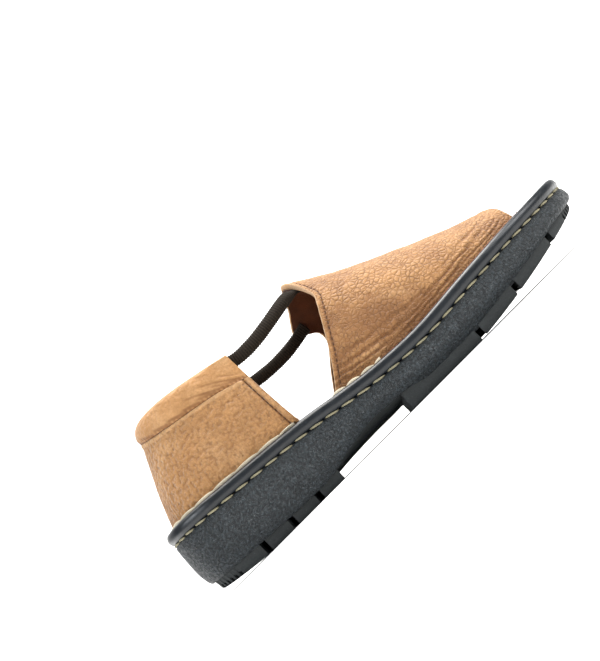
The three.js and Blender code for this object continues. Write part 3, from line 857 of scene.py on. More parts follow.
def wear_group():
    """Rubbed patches and fine dust specks."""
    tree, w, given, out = new_group(
        "Wear and Dust",
        [("Place", "NodeSocketVector", None), ("Amount", "NodeSocketFloat", 0.5)],
        [("Rubbed", "NodeSocketFloat"), ("Specks", "NodeSocketFloat")],
    )
    place = given.outputs["Place"]
    rubbed = w.remap(w.noise(place, 18 * MM, detail=5, roughness=0.62), 0.5, 0.72)
    specks = w.remap(w.noise(place, 0.9 * MM, detail=2), 0.66, 0.76)
    for name, value in (("Rubbed", rubbed), ("Specks", specks)):
        scaled = w.maths("MULTIPLY", value, given.outputs["Amount"], clamped=True)
        w.tree.links.new(scaled, out.inputs[name])
    return tree


GROUPS = {}


def group_node(wiring, name, **inputs):
    makers = {"Pebbled Grain": pebbled_grain_group, "Wear and Dust": wear_group}
    if name not in GROUPS:
        GROUPS[name] = makers[name]()
    place = wiring.add("ShaderNodeTexCoord").outputs["Object"]
    node = wiring.add("ShaderNodeGroup", node_tree=GROUPS[name])
    wiring.tree.links.new(place, node.inputs["Place"])
    for socket, value in inputs.items():
        label = socket.replace("_", " ").title().replace(" Per ", " per ")
        node.inputs[label].default_value = value
    return node, place


def new_material(name):
    made = bpy.data.materials.new(name)
    made.use_nodes = True
    wiring = Wiring(made.node_tree)
    return made, wiring, made.node_tree.nodes["Principled BSDF"]


def set_shader(shader, **values):
    for socket, value in values.items():
        shader.inputs[socket.replace("_", " ")].default_value = value


def bump(wiring, shader, height, depth, strength=1.0):
    inputs = {"Height": height, "Distance": depth, "Strength": strength}
    node = wiring.add("ShaderNodeBump", inputs)
    wiring.tree.links.new(node.outputs["Normal"], shader.inputs["Normal"])


def worn(wiring, wear, output, share, colour, shade):
    """The colour with a share of the wear's rubbed patches or specks laid over it."""
    return wiring.mix(wiring.maths("MULTIPLY", wear.outputs[output], share), colour, shade)


def opaque(colour):
    return (*colour, 1.0)


def darker(colour, share):
    return (*(channel * share for channel in colour), 1.0)


def nubuck(looks, name, cell, line_share, pebbling):
    """Tumbled nubuck: tan cells with darker lines between them, rubbed paler in patches, with
    painted shade between the pebbles and in creases, puckers and seams, and painted highlight on
    raised lips.
    cell is their size as a share of the grain size, pebbling how bumpy the leather is and how much
    painted shade lies between the pebbles."""
    made, w, shader = new_material(name)
    grain, place = group_node(w, "Pebbled Grain", cells_per_metre=1 / (cell * looks.grain_size))
    wear, _ = group_node(w, "Wear and Dust", amount=0.9)
    lines = w.maths("MULTIPLY", grain.outputs["Lines"], line_share)
    painted_shading_and_soil = w.add("ShaderNodeAttribute", attribute_name="painted_shading_and_soil").outputs["Fac"]
    patches = w.remap(grain.outputs["Patches"], 0.3, 0.7)
    colour = w.mix(patches, darker(looks.leather, 0.84), opaque(looks.leather))
    colour = worn(w, wear, "Rubbed", 0.5, colour, opaque(looks.leather_pale))
    pebbles = w.noise(place, 1.8 * MM, detail=0.6, roughness=0.4)
    # Painted shade: the pebbles' low spots, from the noise that also raises the bump, are darkened.
    between = w.remap(pebbles, 0.5, 0.3, 0, 0.36 * pebbling)
    colour = w.mix(between, colour, opaque(looks.leather_dark))
    fleck = w.remap(w.noise(place, 0.8 * MM, detail=3), 0.45, 0.72, 0, 0.34)
    colour = w.mix(fleck, colour, darker(looks.leather, 0.6))
    colour = w.mix(w.maths("MULTIPLY", lines, 0.78), colour, opaque(looks.leather_dark))
    # Painted shade in creases and puckers, plus the darkening towards the welt on the vamp and
    # quarter, which is partly painted shade and partly soiling.
    colour = w.mix(w.remap(painted_shading_and_soil, 0, 1, 0, 0.72), colour, opaque(looks.leather_dark))
    # A near-black painted shadow in the fold where the collar tucks under the quarter.
    colour = w.mix(w.remap(painted_shading_and_soil, 1.1, 1.9), colour, darker(looks.leather_dark, 0.2))
    # Painted highlight on raised lips and just below the collar's seam.
    colour = w.mix(w.remap(painted_shading_and_soil, -0.2, -1, 0, 0.5), colour, opaque(looks.leather_pale))
    w.tree.links.new(colour, shader.inputs["Base Color"])
    rough = w.remap(lines, 0, 1, 0.68, 0.85)
    w.tree.links.new(rough, shader.inputs["Roughness"])
    nap = w.maths("MULTIPLY", w.noise(place, 1.2 * MM, detail=1.3, roughness=0.5), 0.5)
    relief = w.maths("MULTIPLY", grain.outputs["Height"], 0.7 * line_share)
    relief = w.maths("ADD", relief, w.maths("MULTIPLY", pebbles, 4.6 * pebbling))
    bump(w, shader, w.maths("ADD", relief, nap), looks.grain_depth)
    set_shader(shader, Sheen_Weight=0.22, Sheen_Roughness=0.5, Specular_IOR_Level=0.3)
    return made


def smooth_leather(name, colour, patches):
    """Smooth lining leather with pores and soft patches that are so much darker."""
    made, w, shader = new_material(name)
    grain, place = group_node(w, "Pebbled Grain", cells_per_metre=1100)
    wear, _ = group_node(w, "Wear and Dust", amount=0.5)
    dark = darker(colour, patches)
    base = w.mix(w.remap(grain.outputs["Patches"], 0.3, 0.7), dark, opaque(colour))
    base = w.mix(w.maths("MULTIPLY", grain.outputs["Lines"], 0.25), base, dark)
    base = worn(w, wear, "Rubbed", 0.3, base, darker(colour, 1.2))
    w.tree.links.new(base, shader.inputs["Base Color"])
    rough = w.remap(w.noise(place, 6 * MM), 0.3, 0.7, 0.42, 0.6)
    w.tree.links.new(rough, shader.inputs["Roughness"])
    bump(w, shader, grain.outputs["Height"], 0.06 * MM)
    set_shader(shader, Specular_IOR_Level=0.25)
    return made


def suede_edge(looks):
    """The cut edge of the leather: pale, fibrous and a little soiled."""
    made, w, shader = new_material("cut_leather_edge")
    wear, place = group_node(w, "Wear and Dust", amount=1.0)
    fibres = w.noise(place, 0.45 * MM, detail=5, roughness=0.7)
    colour = w.mix(w.remap(fibres, 0.3, 0.7), darker(looks.cut_edge, 0.6), opaque(looks.cut_edge))
    colour = worn(w, wear, "Rubbed", 0.6, colour, opaque(looks.leather))
    w.tree.links.new(colour, shader.inputs["Base Color"])
    bump(w, shader, fibres, 0.25 * MM)
    set_shader(shader, Roughness=0.92, Specular_IOR_Level=0.2)
    return made


def welt_rubber(looks):
    """Smooth moulded rubber with a soft sheen, fine pits and faint rubbed stretches."""
    made, w, shader = new_material("smooth_welt_rubber")
    wear, place = group_node(w, "Wear and Dust", amount=0.8)
    mottled = w.noise(place, 9 * MM, detail=4)
    colour = w.mix(w.remap(mottled, 0.35, 0.7), darker(looks.welt, 0.8), opaque(looks.welt))
    colour = worn(w, wear, "Rubbed", 0.3, colour, darker(looks.welt, 1.5))
    colour = worn(w, wear, "Specks", 0.3, colour, darker(looks.welt, 2.4))
    w.tree.links.new(colour, shader.inputs["Base Color"])
    rough = w.remap(w.noise(place, 4 * MM, detail=4), 0.3, 0.7, 0.28, 0.4)
    w.tree.links.new(rough, shader.inputs["Roughness"])
    pits = w.noise(place, 0.6 * MM, detail=3)
    bump(w, shader, pits, 0.04 * MM)
    return made


def side_rubber(looks):
    """Moulded rubber embossed like fine leather, with painted shade in its sunk lines and low spots
    and painted highlights on its ridges.
    """
    made, w, shader = new_material("embossed_side_rubber")
    grain, place = group_node(
        w, "Pebbled Grain", cells_per_metre=700, line_width=0.13, wander=0.0012
    )
    wear, _ = group_node(w, "Wear and Dust", amount=0.8)
    emboss = w.noise(place, 1.3 * MM, detail=1.5, roughness=0.5)
    mottled = w.remap(grain.outputs["Patches"], 0.3, 0.7)
    colour = w.mix(mottled, darker(looks.sole, 0.75), opaque(looks.sole))
    # Painted shade on the emboss's low spots.
    colour = w.mix(w.remap(emboss, 0.5, 0.36, 0, 0.75), colour, darker(looks.sole, 0.3))
    # Painted highlight: the emboss's ridges are made lighter to stand in for glints.
    colour = w.mix(w.remap(emboss, 0.54, 0.68, 0, 0.6), colour, darker(looks.sole, 1.9))
    # Painted shade in the emboss's sunk lines.
    lines = w.maths("MULTIPLY", grain.outputs["Lines"], 0.6)
    colour = w.mix(lines, colour, darker(looks.sole, 0.3))
    colour = worn(w, wear, "Specks", 0.4, colour, darker(looks.sole, 3.4))
    w.tree.links.new(colour, shader.inputs["Base Color"])
    rough = w.remap(emboss, 0.35, 0.65, 0.62, 0.36)
    w.tree.links.new(rough, shader.inputs["Roughness"])
    relief = w.maths("ADD", grain.outputs["Height"], w.maths("MULTIPLY", emboss, 2.5))
    bump(w, shader, relief, 0.5 * MM)
    return made


def tread_rubber(looks):
    """Matt tread rubber with a granular face and a little dust."""
    made, w, shader = new_material("matt_tread_rubber")
    wear, place = group_node(w, "Wear and Dust", amount=1.0)
    grains = w.noise(place, 0.55 * MM, detail=4, roughness=0.65)
    colour = w.mix(w.remap(grains, 0.3, 0.7), darker(looks.tread, 0.7), opaque(looks.tread))
    colour = worn(w, wear, "Rubbed", 0.3, colour, darker(looks.tread, 1.6))
    colour = worn(w, wear, "Specks", 0.4, colour, darker(looks.tread, 3))
    w.tree.links.new(colour, shader.inputs["Base Color"])
    bump(w, shader, grains, 0.12 * MM)
    set_shader(shader, Roughness=0.78, Specular_IOR_Level=0.35)
    return made


def thread_material(name, colour):
    """Twisted thread: slanting plies along each stitch."""
    made, w, shader = new_material(name)
    surface = w.add("ShaderNodeUVMap", uv_map="surface").outputs["UV"]
    turned = w.add("ShaderNodeMapping", {"Vector": surface, "Scale": (6, 2, 1)}).outputs[0]
    plies = w.add("ShaderNodeTexWave", {"Vector": turned, "Scale": 1.6, "Distortion": 0.6})
    plies.bands_direction = "DIAGONAL"
    place = w.add("ShaderNodeTexCoord").outputs["Object"]
    soiled = w.remap(w.noise(place, 12 * MM, detail=3), 0.35, 0.7)
    shaded = w.mix(plies.outputs["Fac"], darker(colour, 0.62), opaque(colour))
    shaded = w.mix(w.maths("MULTIPLY", soiled, 0.35), shaded, darker(colour, 0.45))
    w.tree.links.new(shaded, shader.inputs["Base Color"])
    bump(w, shader, plies.outputs["Fac"], 0.1 * MM)
    set_shader(shader, Roughness=0.75)
    return made


def elastic_material(looks):
    """Ribbed elastic: tight cross threads over each rib."""
    made, w, shader = new_material("ribbed_elastic")
    painted_shading_and_soil = w.add("ShaderNodeAttribute", attribute_name="painted_shading_and_soil").outputs["Fac"]
    surface = w.add("ShaderNodeUVMap", uv_map="surface").outputs["UV"]
    stretched = w.add("ShaderNodeMapping", {"Vector": surface, "Scale": (60, 70, 1)}).outputs[0]
    inputs = {"Vector": stretched, "Scale": 1, "Detail": 2}
    yarn = w.add("ShaderNodeTexNoise", inputs).outputs["Fac"]
    colour = w.mix(w.remap(yarn, 0.3, 0.7), darker(looks.elastic, 0.6), opaque(looks.elastic))
    # Painted shade in the valleys between the ribs.
    colour = w.mix(w.remap(painted_shading_and_soil, 0, 1, 0, 0.7), colour, darker(looks.elastic, 0.3))
    w.tree.links.new(colour, shader.inputs["Base Color"])
    bump(w, shader, yarn, 0.1 * MM)
    set_shader(shader, Roughness=0.88, Sheen_Weight=0.03, Specular_IOR_Level=0.18)
    return made


MATERIALS = {}


def finishes(looks):
    """All finishes, made once."""
    if not MATERIALS:
        MATERIALS.update(
            upper=nubuck(looks, "tumbled_nubuck", 1.05, 1.0, 0.2),
            quarter=nubuck(looks, "bumpy_quarter_nubuck", 0.85, 0.5, 1.15),
            collar=nubuck(looks, "soft_collar_nubuck", 0.9, 0.2, 0.3),
            lining=smooth_leather("lining_leather", looks.lining, 0.6),
            insole=smooth_leather("insole_leather", looks.insole, 0.7),
            edge=suede_edge(looks),
            welt=welt_rubber(looks),
            side=side_rubber(looks),
            tread=tread_rubber(looks),
            cream=thread_material("cream_thread", looks.cream_thread),
            brown=thread_material("brown_thread", looks.brown_thread),
            elastic=elastic_material(looks),
            trim=smooth_leather("cream_trim", looks.trim, 0.75),
            red_edge=smooth_leather("rough_red_edge", looks.red_edge, 0.6),
        )
    return MATERIALS


# Sole
def outsole_body():
    """The side, the waist and the underside, closed on top under the welt."""
    mesh = new_mesh()

    def side(share):
        return lambda x: lerp(groove_level(x) - SIDE_SHOULDER, foot_level(x), share)

    top = sole_ring(STITCH_GROOVE, groove_level)
    under = sole_ring(TREAD_INSET + TREAD_BEVEL, root_level)
    section = rows(
        "inset share",
        (0.0007, 0),
        (0.00045, 0.1),
        (0.00025, 0.3),
        (0.0001, 0.48),
        (0.0001, 0.62),
        (0.0003, 0.74),
        (0.0007, 0.84),
        (0.0012, 0.92),
        (0.0018, 0.975),
        (0.0026, 1),
    )
    rings = closing_rings(top, lambda x, out, y: groove_level(x), 2)[::-1]
    rings.append(top)
    rings.append(sole_ring(0.0019, lambda x: groove_level(x) - 0.08 * SIDE_SHOULDER))
    rings.append(sole_ring(0.0013, lambda x: groove_level(x) - 0.33 * SIDE_SHOULDER))
    rings.append(sole_ring(0.0009, lambda x: groove_level(x) - 0.66 * SIDE_SHOULDER))
    rings += [sole_ring(row["inset"], side(row["share"])) for row in section]
    side_rings = len(rings)
    rings.append(under)
    rings += closing_rings(
        under, lambda x, out, y: root_level(x) - keel_depth(x) * (1 - out**2), 8
    )
    edge = side_rings / (len(rings) - 1)
    skin(mesh, rings, looped=True, material_of=lambda u, v: 0 if u < edge else 1)
    return mesh


def tread_slab(raised=0.0):
    """The whole tread before its gaps are cut."""
    mesh = new_mesh()
    buried = 1.2 * MM

    def root(x, *_):
        return root_level(x) + buried

    def face(x, *_):
        return tread_level(x) + raised

    edge = sole_ring(TREAD_INSET, root, steps=240)
    foot = sole_ring(TREAD_INSET + 2 * TREAD_BEVEL, face, steps=240)
    rings = closing_rings(edge, root, 3)[::-1]
    bevel = sole_ring(TREAD_INSET + TREAD_BEVEL, lambda x: face(x) + TREAD_BEVEL, steps=240)
    rings += [edge, bevel, foot, *closing_rings(foot, face, 3)]
    skin(mesh, rings, looped=True)
    bmesh.ops.recalc_face_normals(mesh, faces=mesh.faces)
    return mesh


def keep_ahead(block, place, normal):
    """Cuts a block with a plane, keeps what lies ahead of it and closes the cut."""
    everything = block.verts[:] + block.edges[:] + block.faces[:]
    cut = bmesh.ops.bisect_plane(
        block, geom=everything, plane_co=place, plane_no=normal, dist=1e-5, clear_inner=True
    )
    rim = [item for item in cut["geom_cut"] if isinstance(item, bmesh.types.BMEdge)]
    if rim:
        bmesh.ops.holes_fill(block, edges=rim, sides=0)


def line_plane(line, shift, i, forward):
    """A plane through one stretch of a zigzag line, moved along the shoe."""
    stations = list(line.values())
    ends = [
        Vector((stations[k] * LENGTH + shift, ZIGZAG_PLACES[k] * BALL_WIDTH, 0)) for k in (i, i + 1)
    ]
    along = (ends[1] - ends[0]).normalized()
    normal = Vector((-along.y, along.x, 0)) * (1 if forward else -1)
    return ends[0], normal


def soften(block, across_only=False):
    """Rounds the sharp edges of a cut block."""
    bmesh.ops.remove_doubles(block, verts=block.verts, dist=0.15 * MM)
    bmesh.ops.recalc_face_normals(block, faces=block.faces)
    edges = []
    for edge in block.edges:
        if len(edge.link_faces) != 2 or edge.calc_face_angle() < math.radians(38):
            continue
        if across_only and any(abs(face.normal.y) > 0.95 for face in edge.link_faces):
            continue
        edges.append(edge)
    bmesh.ops.bevel(
        block, geom=edges, offset=0.32 * MM, offset_type="OFFSET", segments=2, profile=0.5,
        affect="EDGES", clamp_overlap=False, material=-1,
    )


def add_block(mesh, block):
    """Joins a finished block to a mesh."""
    if block.faces:
        data = bpy.data.meshes.new("block")
        block.to_mesh(data)
        mesh.from_mesh(data)
        bpy.data.meshes.remove(data)
    block.free()


def tread_blocks():
    """Every lug and rib of the tread, joined in one mesh."""
    mesh = new_mesh()
    slab = tread_slab()
    places = [share * BALL_WIDTH for share in ZIGZAG_PLACES]
    middle = (places[1] + places[2]) / 2
    columns = [(places[0], places[1], 0), (places[1], middle, 1), (middle, places[2], 1),
               (places[2], places[3], 2)]
    for lines in (HEEL_LINES, FOREFOOT_LINES):
        for k, (rear, front) in enumerate(zip(lines, lines[1:])):
            rear_gap = 0 if k == 0 and lines is FOREFOOT_LINES else GROOVE_WIDTH / 2
            front_gap = 0 if front is HEEL_LINES[-1] else GROOVE_WIDTH / 2
            for medial, lateral, stretch in columns:
                block = slab.copy()
                keep_ahead(block, *line_plane(rear, rear_gap, stretch, True))
                keep_ahead(block, *line_plane(front, -front_gap, stretch, False))
                keep_ahead(block, (0, medial - FINE_LINE / 2, 0), (0, -1, 0))
                keep_ahead(block, (0, lateral + FINE_LINE / 2, 0), (0, 1, 0))
                soften(block)
                add_block(mesh, block)
    for pad in RIB_PADS:
        line = FOREFOOT_LINES[-1] if pad["ahead"] else HEEL_LINES[0]
        gap = GROOVE_WIDTH / 2 if pad["ahead"] else -GROOVE_WIDTH / 2
        turn = math.radians(pad["turn"])
        ahead = Vector((math.cos(turn), math.sin(turn), 0))
        bars = [pad["first"] * LENGTH + i * RIB_PITCH for i in range(pad["count"])]
        base = tread_slab(raised=RIB_DEPTH)
        for i in range(3):
            strip = base.copy()
            keep_ahead(strip, *line_plane(line, gap, i, pad["ahead"]))
            keep_ahead(strip, (0, places[i], 0), (0, -1, 0))
            keep_ahead(strip, (0, places[i + 1], 0), (0, 1, 0))
            add_block(mesh, strip)
            for rear, front in zip([-1, *bars], [*bars, 2]):
                rib = slab.copy()
                if rear >= 0:
                    keep_ahead(rib, Vector((rear, 0, 0)) + ahead * RIB_GAP / 2, ahead)
                if front <= 1:
                    keep_ahead(rib, Vector((front, 0, 0)) - ahead * RIB_GAP / 2, -ahead)
                keep_ahead(rib, *line_plane(line, gap, i, pad["ahead"]))
                keep_ahead(rib, (0, places[i], 0), (0, -1, 0))
                keep_ahead(rib, (0, places[i + 1], 0), (0, 1, 0))
                if rib.faces:
                    soften(rib, across_only=True)
                add_block(mesh, rib)
        base.free()
    slab.free()
    return mesh


def welt_mesh():
    """The rolled rim: a round outer face that falls to the upper."""
    mesh = new_mesh()
    section = rows(
        "inward up",
        (1, 0), (0.65, 0), (0.36, 0.005), (0.22, 0.05), (0.12, 0.12), (0.05, 0.22), (0.01, 0.34),
        (0, 0.46), (0.015, 0.58), (0.05, 0.7), (0.11, 0.81), (0.2, 0.9), (0.31, 0.96), (0.43, 0.99),
        (0.55, 1), (0.67, 0.985), (0.78, 0.955), (0.87, 0.915), (0.95, 0.86), (1, 0.79), (1, 0.4),
    )
    rings = []
    for row in section:
        level = row["up"] * WELT_HEIGHT
        rings.append(sole_ring(row["inward"] * WELT_WIDTH, lambda x, up=level: seat_level(x) + up))
    rings.append(rings[0])
    skin(mesh, rings, looped=True)
    return mesh


def welt_stitches(make):
    """The run of long stitches in the groove under the welt."""
    mesh = new_mesh()
    count = round(GIRTH / make.stitch_pitch)
    half = make.stitch_length / 2 / GIRTH
    for k in range(count):
        middle = (k + 0.5) / count
        centres, ups = [], []
        for step in STITCH_STEPS:
            share = middle + step * half
            point = inset_point(share, 1.25 * MM + 1.1 * MM * step**4)
            point.z = groove_level(point.x) + 0.15 * MM + 0.3 * MM * step
            centres.append(point)
            ups.append(Vector((0, 0, 1)))
        sizes = [make.thread_thickness * share for share in (0.5, 0.8, 0.97, 1, 0.97, 0.8, 0.5)]
        tube(mesh, centres, ups, sizes)
    return mesh


def insole_mesh():
    """The covered footbed: a rounded rim, a cupped heel and a raised arch."""
    mesh = new_mesh()
    beside = WELT_WIDTH + 3 * CLEARANCE + LEATHER_WALL
    beyond = VAMP_EDGE_ROWS[0]["toe_medial"]
    margin = 0.045

    def inset(x):
        in_front = smoothstep(x / LENGTH, beyond + margin / 2, beyond + 2 * margin)
        return lerp(beside, WELT_WIDTH + CLEARANCE, in_front)

    def top(x, out, y):
        heel = 1 - smoothstep(x / LENGTH, 0.25, 0.5)
        under_arch = math.exp(-(((x / LENGTH - ARCH_AT) / ARCH_REACH) ** 2))
        arch = under_arch * smoothstep(y, 0, 0.3 * HEEL_WIDTH) * out * (1 - out**4)
        dip = HEEL_CUP * heel * (1 - out**2)
        return seat_level(x) + INSOLE_THICKNESS - dip + ARCH_RISE * arch

    bottom = sole_ring(inset, seat_level)
    rings = closing_rings(bottom, lambda x, out, y: seat_level(x), 2)[::-1] + [bottom]
    for k in range(5):
        turn = math.pi / 2 * k / 4
        drawn = INSOLE_RIM * (1 - math.cos(turn))
        lift = INSOLE_THICKNESS - INSOLE_RIM * (1 - math.sin(turn))
        rings.append(
            sole_ring(lambda x, d=drawn: inset(x) + d, lambda x, up=lift: seat_level(x) + up)
        )
    rings += closing_rings(rings[-1], top, 14)
    skin(mesh, rings, looped=True)
    return mesh


# Upper
@lru_cache(maxsize=None)
def vamp_run(around):
    return (vamp_point(1, around) - vamp_point(0, around)).length


def vamp_off(point, along, around):
    run = vamp_run(around)
    side = 1 if around > 0.5 else -1
    return vamp_relief(point, side, along * run, (1 - along) * run)


# Darkens the vamp towards the welt, most at the rear: partly painted shade on the low wall and
# partly soiling.
def vamp_shading_and_soil(point, above):
    ahead = smoothstep(point.x, 0.5 * LENGTH, 0.8 * LENGTH)
    return lerp(1.1, 0.4, ahead) * math.exp(-above / (lerp(30, 4, ahead) * MM))


def vamp_mesh():
    """The vamp, as one wall with its lining inside and its cut edges."""
    mesh = new_mesh()
    nose = 0.5 * MM
    alongs = crowded(150, 0.55)
    rings, shading_and_soil_values = [], []
    for around in crowded(250, 0.55):
        run = vamp_run(around)
        places = [(lerp(nose / run, 1 - nose / run, along), around) for along in alongs]
        points, ring_shading_and_soil = wall_section(vamp_point, places, vamp_off, nose, vamp_shading_and_soil)
        rings.append(points)
        shading_and_soil_values.append(ring_shading_and_soil)
    count = len(rings[0])
    outer = len(alongs)
    inner = outer + WALL_EDGE_POINTS

    def part(u, v):
        k = v * count
        if k < outer - 1:
            return 0
        return 1 if inner <= k < inner + outer - 1 else 2

    skin(mesh, rings, looped=True, shading_and_soil_values=shading_and_soil_values, material_of=part)
    close_ends(mesh)
    return mesh


HEEL_RUN = Run(
    [heel_point(0.75, i / 200) for i in range(201)], [Vector((0, 0, 1))] * 201
).length


def quarter_off(point, up, around):
    """Relief of the quarter: a turned strip down each front edge, a raised lip under the seam."""
    seam = seam_up(around)
    height = heel_point(seam, around).z - point.z
    side_share = min(around, 1 - around)
    back = side_share * HEEL_RUN
    strip = math.exp(-(((back - 1.5 * MM) / (1.4 * MM)) ** 4))
    groove = math.exp(-(((back - FRONT_SEAM) / (0.5 * MM)) ** 2))
    lip = math.exp(-(((height - 0.5 * MM) / (1.0 * MM)) ** 4)) * smoothstep(back, 3 * MM, 5 * MM)
    pulled = 0.5 + 0.5 * math.cos(2 * math.pi * back / GATHER_PITCH)
    off = (0.35 * strip - 0.7 * groove + lip * (0.55 - 0.14 * pulled)) * MM
    inside = smoothstep(back, 4 * MM, 7 * MM)
    off += inside * pucker_relief(QUARTER_PUCKERS, back, -height)
    swell = 0.5 * unevenness(point, 24 * MM) + 0.12 * unevenness(point, 5 * MM)
    return off + inside * swell * MM


# Darkens the quarter just above the welt, partly painted shade and partly soiling, and paints a
# highlight that makes it paler just below the collar's seam.
def quarter_shading_and_soil(point, above):
    below = COLLAR_HEIGHT * HEEL_SEAM(0.25) - point.z
    return 0.35 * math.exp(-above / (5 * MM)) - 0.45 * math.exp(-max(below, 0) / (8 * MM))


def quarter_mesh():
    """The quarter: a lined wall round the heel, from the insole up to the collar's seam."""
    mesh = new_mesh()
    nose = 0.9 * MM
    arounds = crowded(300, 0.5)
    rings, shading_and_soil_values = [], []
    risers, closers = 70, 4
    for k, share in enumerate([i / risers for i in range(risers + 1)] + [1.0] * closers):
        places = []
        for around in arounds:
            b = lerp(nose / HEEL_RUN, 1 - nose / HEEL_RUN, around)
            places.append((share * seam_up(b), b))
        points, ring_shading_and_soil = wall_section(heel_point, places, quarter_off, nose, quarter_shading_and_soil)
        if k > risers:
            turn = math.pi / 2 * (k - risers) / closers
            count = len(points)
            last = 2 * len(places) + WALL_EDGE_POINTS - 1
            flipped = [points[(last - j) % count] for j in range(count)]
            closing = 0.5 - 0.5 * math.cos(turn)
            points = [p.lerp(q, closing) for p, q in zip(points, flipped)]
            lift = 0.5 * MM * math.sin(turn)
            points = [p + Vector((0, 0, lift)) for p in points]
        rings.append(points)
        shading_and_soil_values.append(ring_shading_and_soil)
    count = len(rings[0])
    outer = len(arounds)
    lined_from = outer + WALL_EDGE_POINTS // 2 + 1

    def part(u, v):
        return 1 if lined_from < v * count < lined_from + outer else 0

    skin(mesh, rings, looped=True, shading_and_soil_values=shading_and_soil_values, material_of=part)
    close_ends(mesh)
    return mesh


def collar_outline(steps):
    """The collar's section as a smooth closed curve: shares of its height and of its puff."""
    knots = [Vector((row["rise"], row["out"])) for row in COLLAR_SECTION]
    count = len(knots)
    points = []
    for i in range(steps):
        at = i / steps * count
        k = int(at)
        t = at - k
        a, b, c, d = (knots[(k + j) % count] for j in (-1, 0, 1, 2))
        point = b * 2 + (c - a) * t + (a * 2 - b * 5 + c * 4 - d) * t**2
        points.append((point + (b * 3 - a - c * 3 + d) * t**3) / 2)
    return points


def collar_mesh():
    """The padded collar: a soft roll over the top line, pulled into puckers along its seam."""
    mesh = new_mesh()
    section = collar_outline(120)
    flat_end, full_from = 0.05, 0.13
    lined_from, lined_to = 0.6, 0.99
    rings, shading_and_soil_values = [], []
    for around in crowded(640, 0.4):
        ring, ring_shading_and_soil = [], []
        seam = seam_up(around)
        full = smoothstep(min(around, 1 - around), flat_end, full_from)
        back = min(around, 1 - around) * HEEL_RUN
        height = (1 - seam) * (heel_point(1, around).z - heel_point(0, around).z)
        for place in section:
            flat = 0 if place.y > -0.3 else -LEATHER_WALL
            if place.x > 0.96:
                flat = lerp(0, -LEATHER_WALL, clamp(-place.y / 0.6))
            up = lerp(seam, 1, clamp(place.x))
            point = heel_point(up, around)
            normal = face_normal(heel_point, clamp(up, 0, 0.995), around)
            off = 0.0
            collar_shade = 0.0
            if place.y > -0.45:
                outside = smoothstep(place.y, -0.45, -0.1)
                rise = place.x * height
                off = outside * pucker_relief(COLLAR_PUCKERS, back, rise) * (0.75 + 0.25 * full)
                pulled = 0.5 + 0.5 * math.cos(2 * math.pi * back / GATHER_PITCH)
                off -= 0.3 * MM * pulled * math.exp(-((rise / (1.5 * MM)) ** 2)) * outside
                # Painted shade in the puckers' troughs and where the collar curls under towards its
                # seam.
                collar_shade = -off / (0.34 * MM) + 0.3 * (1 - smoothstep(rise, 0, 7 * MM))
            off += 0.4 * MM * full * unevenness(point, 13 * MM)
            ring.append(point + normal * (lerp(flat, place.y * COLLAR_PUFF, full) + off))
            # A near-black painted shadow in the fold where the collar tucks under the quarter's
            # edge.
            seam_shadow = 2 * (1 - smoothstep(place.x * height, 0.3 * MM, 0.75 * MM))
            ring_shading_and_soil.append(max(clamp(collar_shade, -1, 1), seam_shadow))
        rings.append(ring)
        shading_and_soil_values.append(ring_shading_and_soil)
    centre = [sum(ring, Vector()) / len(ring) for ring in (rings[0], rings[-1])]
    rings = [[centre[0]] * len(section), *rings, [centre[1]] * len(section)]
    shading_and_soil_values = [[0] * len(section), *shading_and_soil_values, [0] * len(section)]

    def part(u, v):
        return 1 if lined_from < v < lined_to else 0

    skin(mesh, rings, looped=True, shading_and_soil_values=shading_and_soil_values, material_of=part)
    return mesh


def strap_route(strap, step=0.6 * MM):
    """The middle line of an elastic strap and its outward directions, sewn ends included."""
    sewn = -(LEATHER_WALL + CLEARANCE + STRAP_END_THICKNESS / 2)

    def on_side(around):
        return 1 - around if strap["side"] > 0 else around

    rear_up = up_at(strap["rear"] * COLLAR_HEIGHT, on_side(0))
    near = 0.05
    collar_run = (heel_point(rear_up, on_side(0)) - heel_point(rear_up, on_side(near))).length
    end = on_side(strap["end"])
    anchors = [
        (heel_point, rear_up, on_side(near * STRAP_SEWN_LENGTH / collar_run)),
        (heel_point, rear_up, on_side(0)),
        (vamp_point, 0, on_side(strap["front"])),
        (vamp_point, STRAP_SEWN_LENGTH / vamp_run(end), end),
    ]
    outs = [face_normal(*anchor) for anchor in anchors]
    knots = [anchor[0](*anchor[1:]) + out * sewn for anchor, out in zip(anchors, outs)]
    free = (knots[2] - knots[1]).length
    handles = [
        knots[1] + (knots[1] - knots[0]).normalized() * free / 3,
        knots[2] + (knots[2] - knots[3]).normalized() * free / 3,
    ]
    count = round(free / step)
    centres, outwards, fulls = [knots[0]], [outs[0]], [0.0]
    for i in range(count + 1):
        t = i / count
        ahead = knots[1] * (1 - t) ** 3 + handles[0] * 3 * t * (1 - t) ** 2
        centres.append(ahead + handles[1] * 3 * t * t * (1 - t) + knots[2] * t**3)
        outwards.append(outs[1].lerp(outs[2], t).normalized())
        fulls.append(smoothstep(min(t, 1 - t) * free, 0, STRAP_TAPER))
    return [*centres, knots[3]], [*outwards, outs[3]], [*fulls, 0.0]


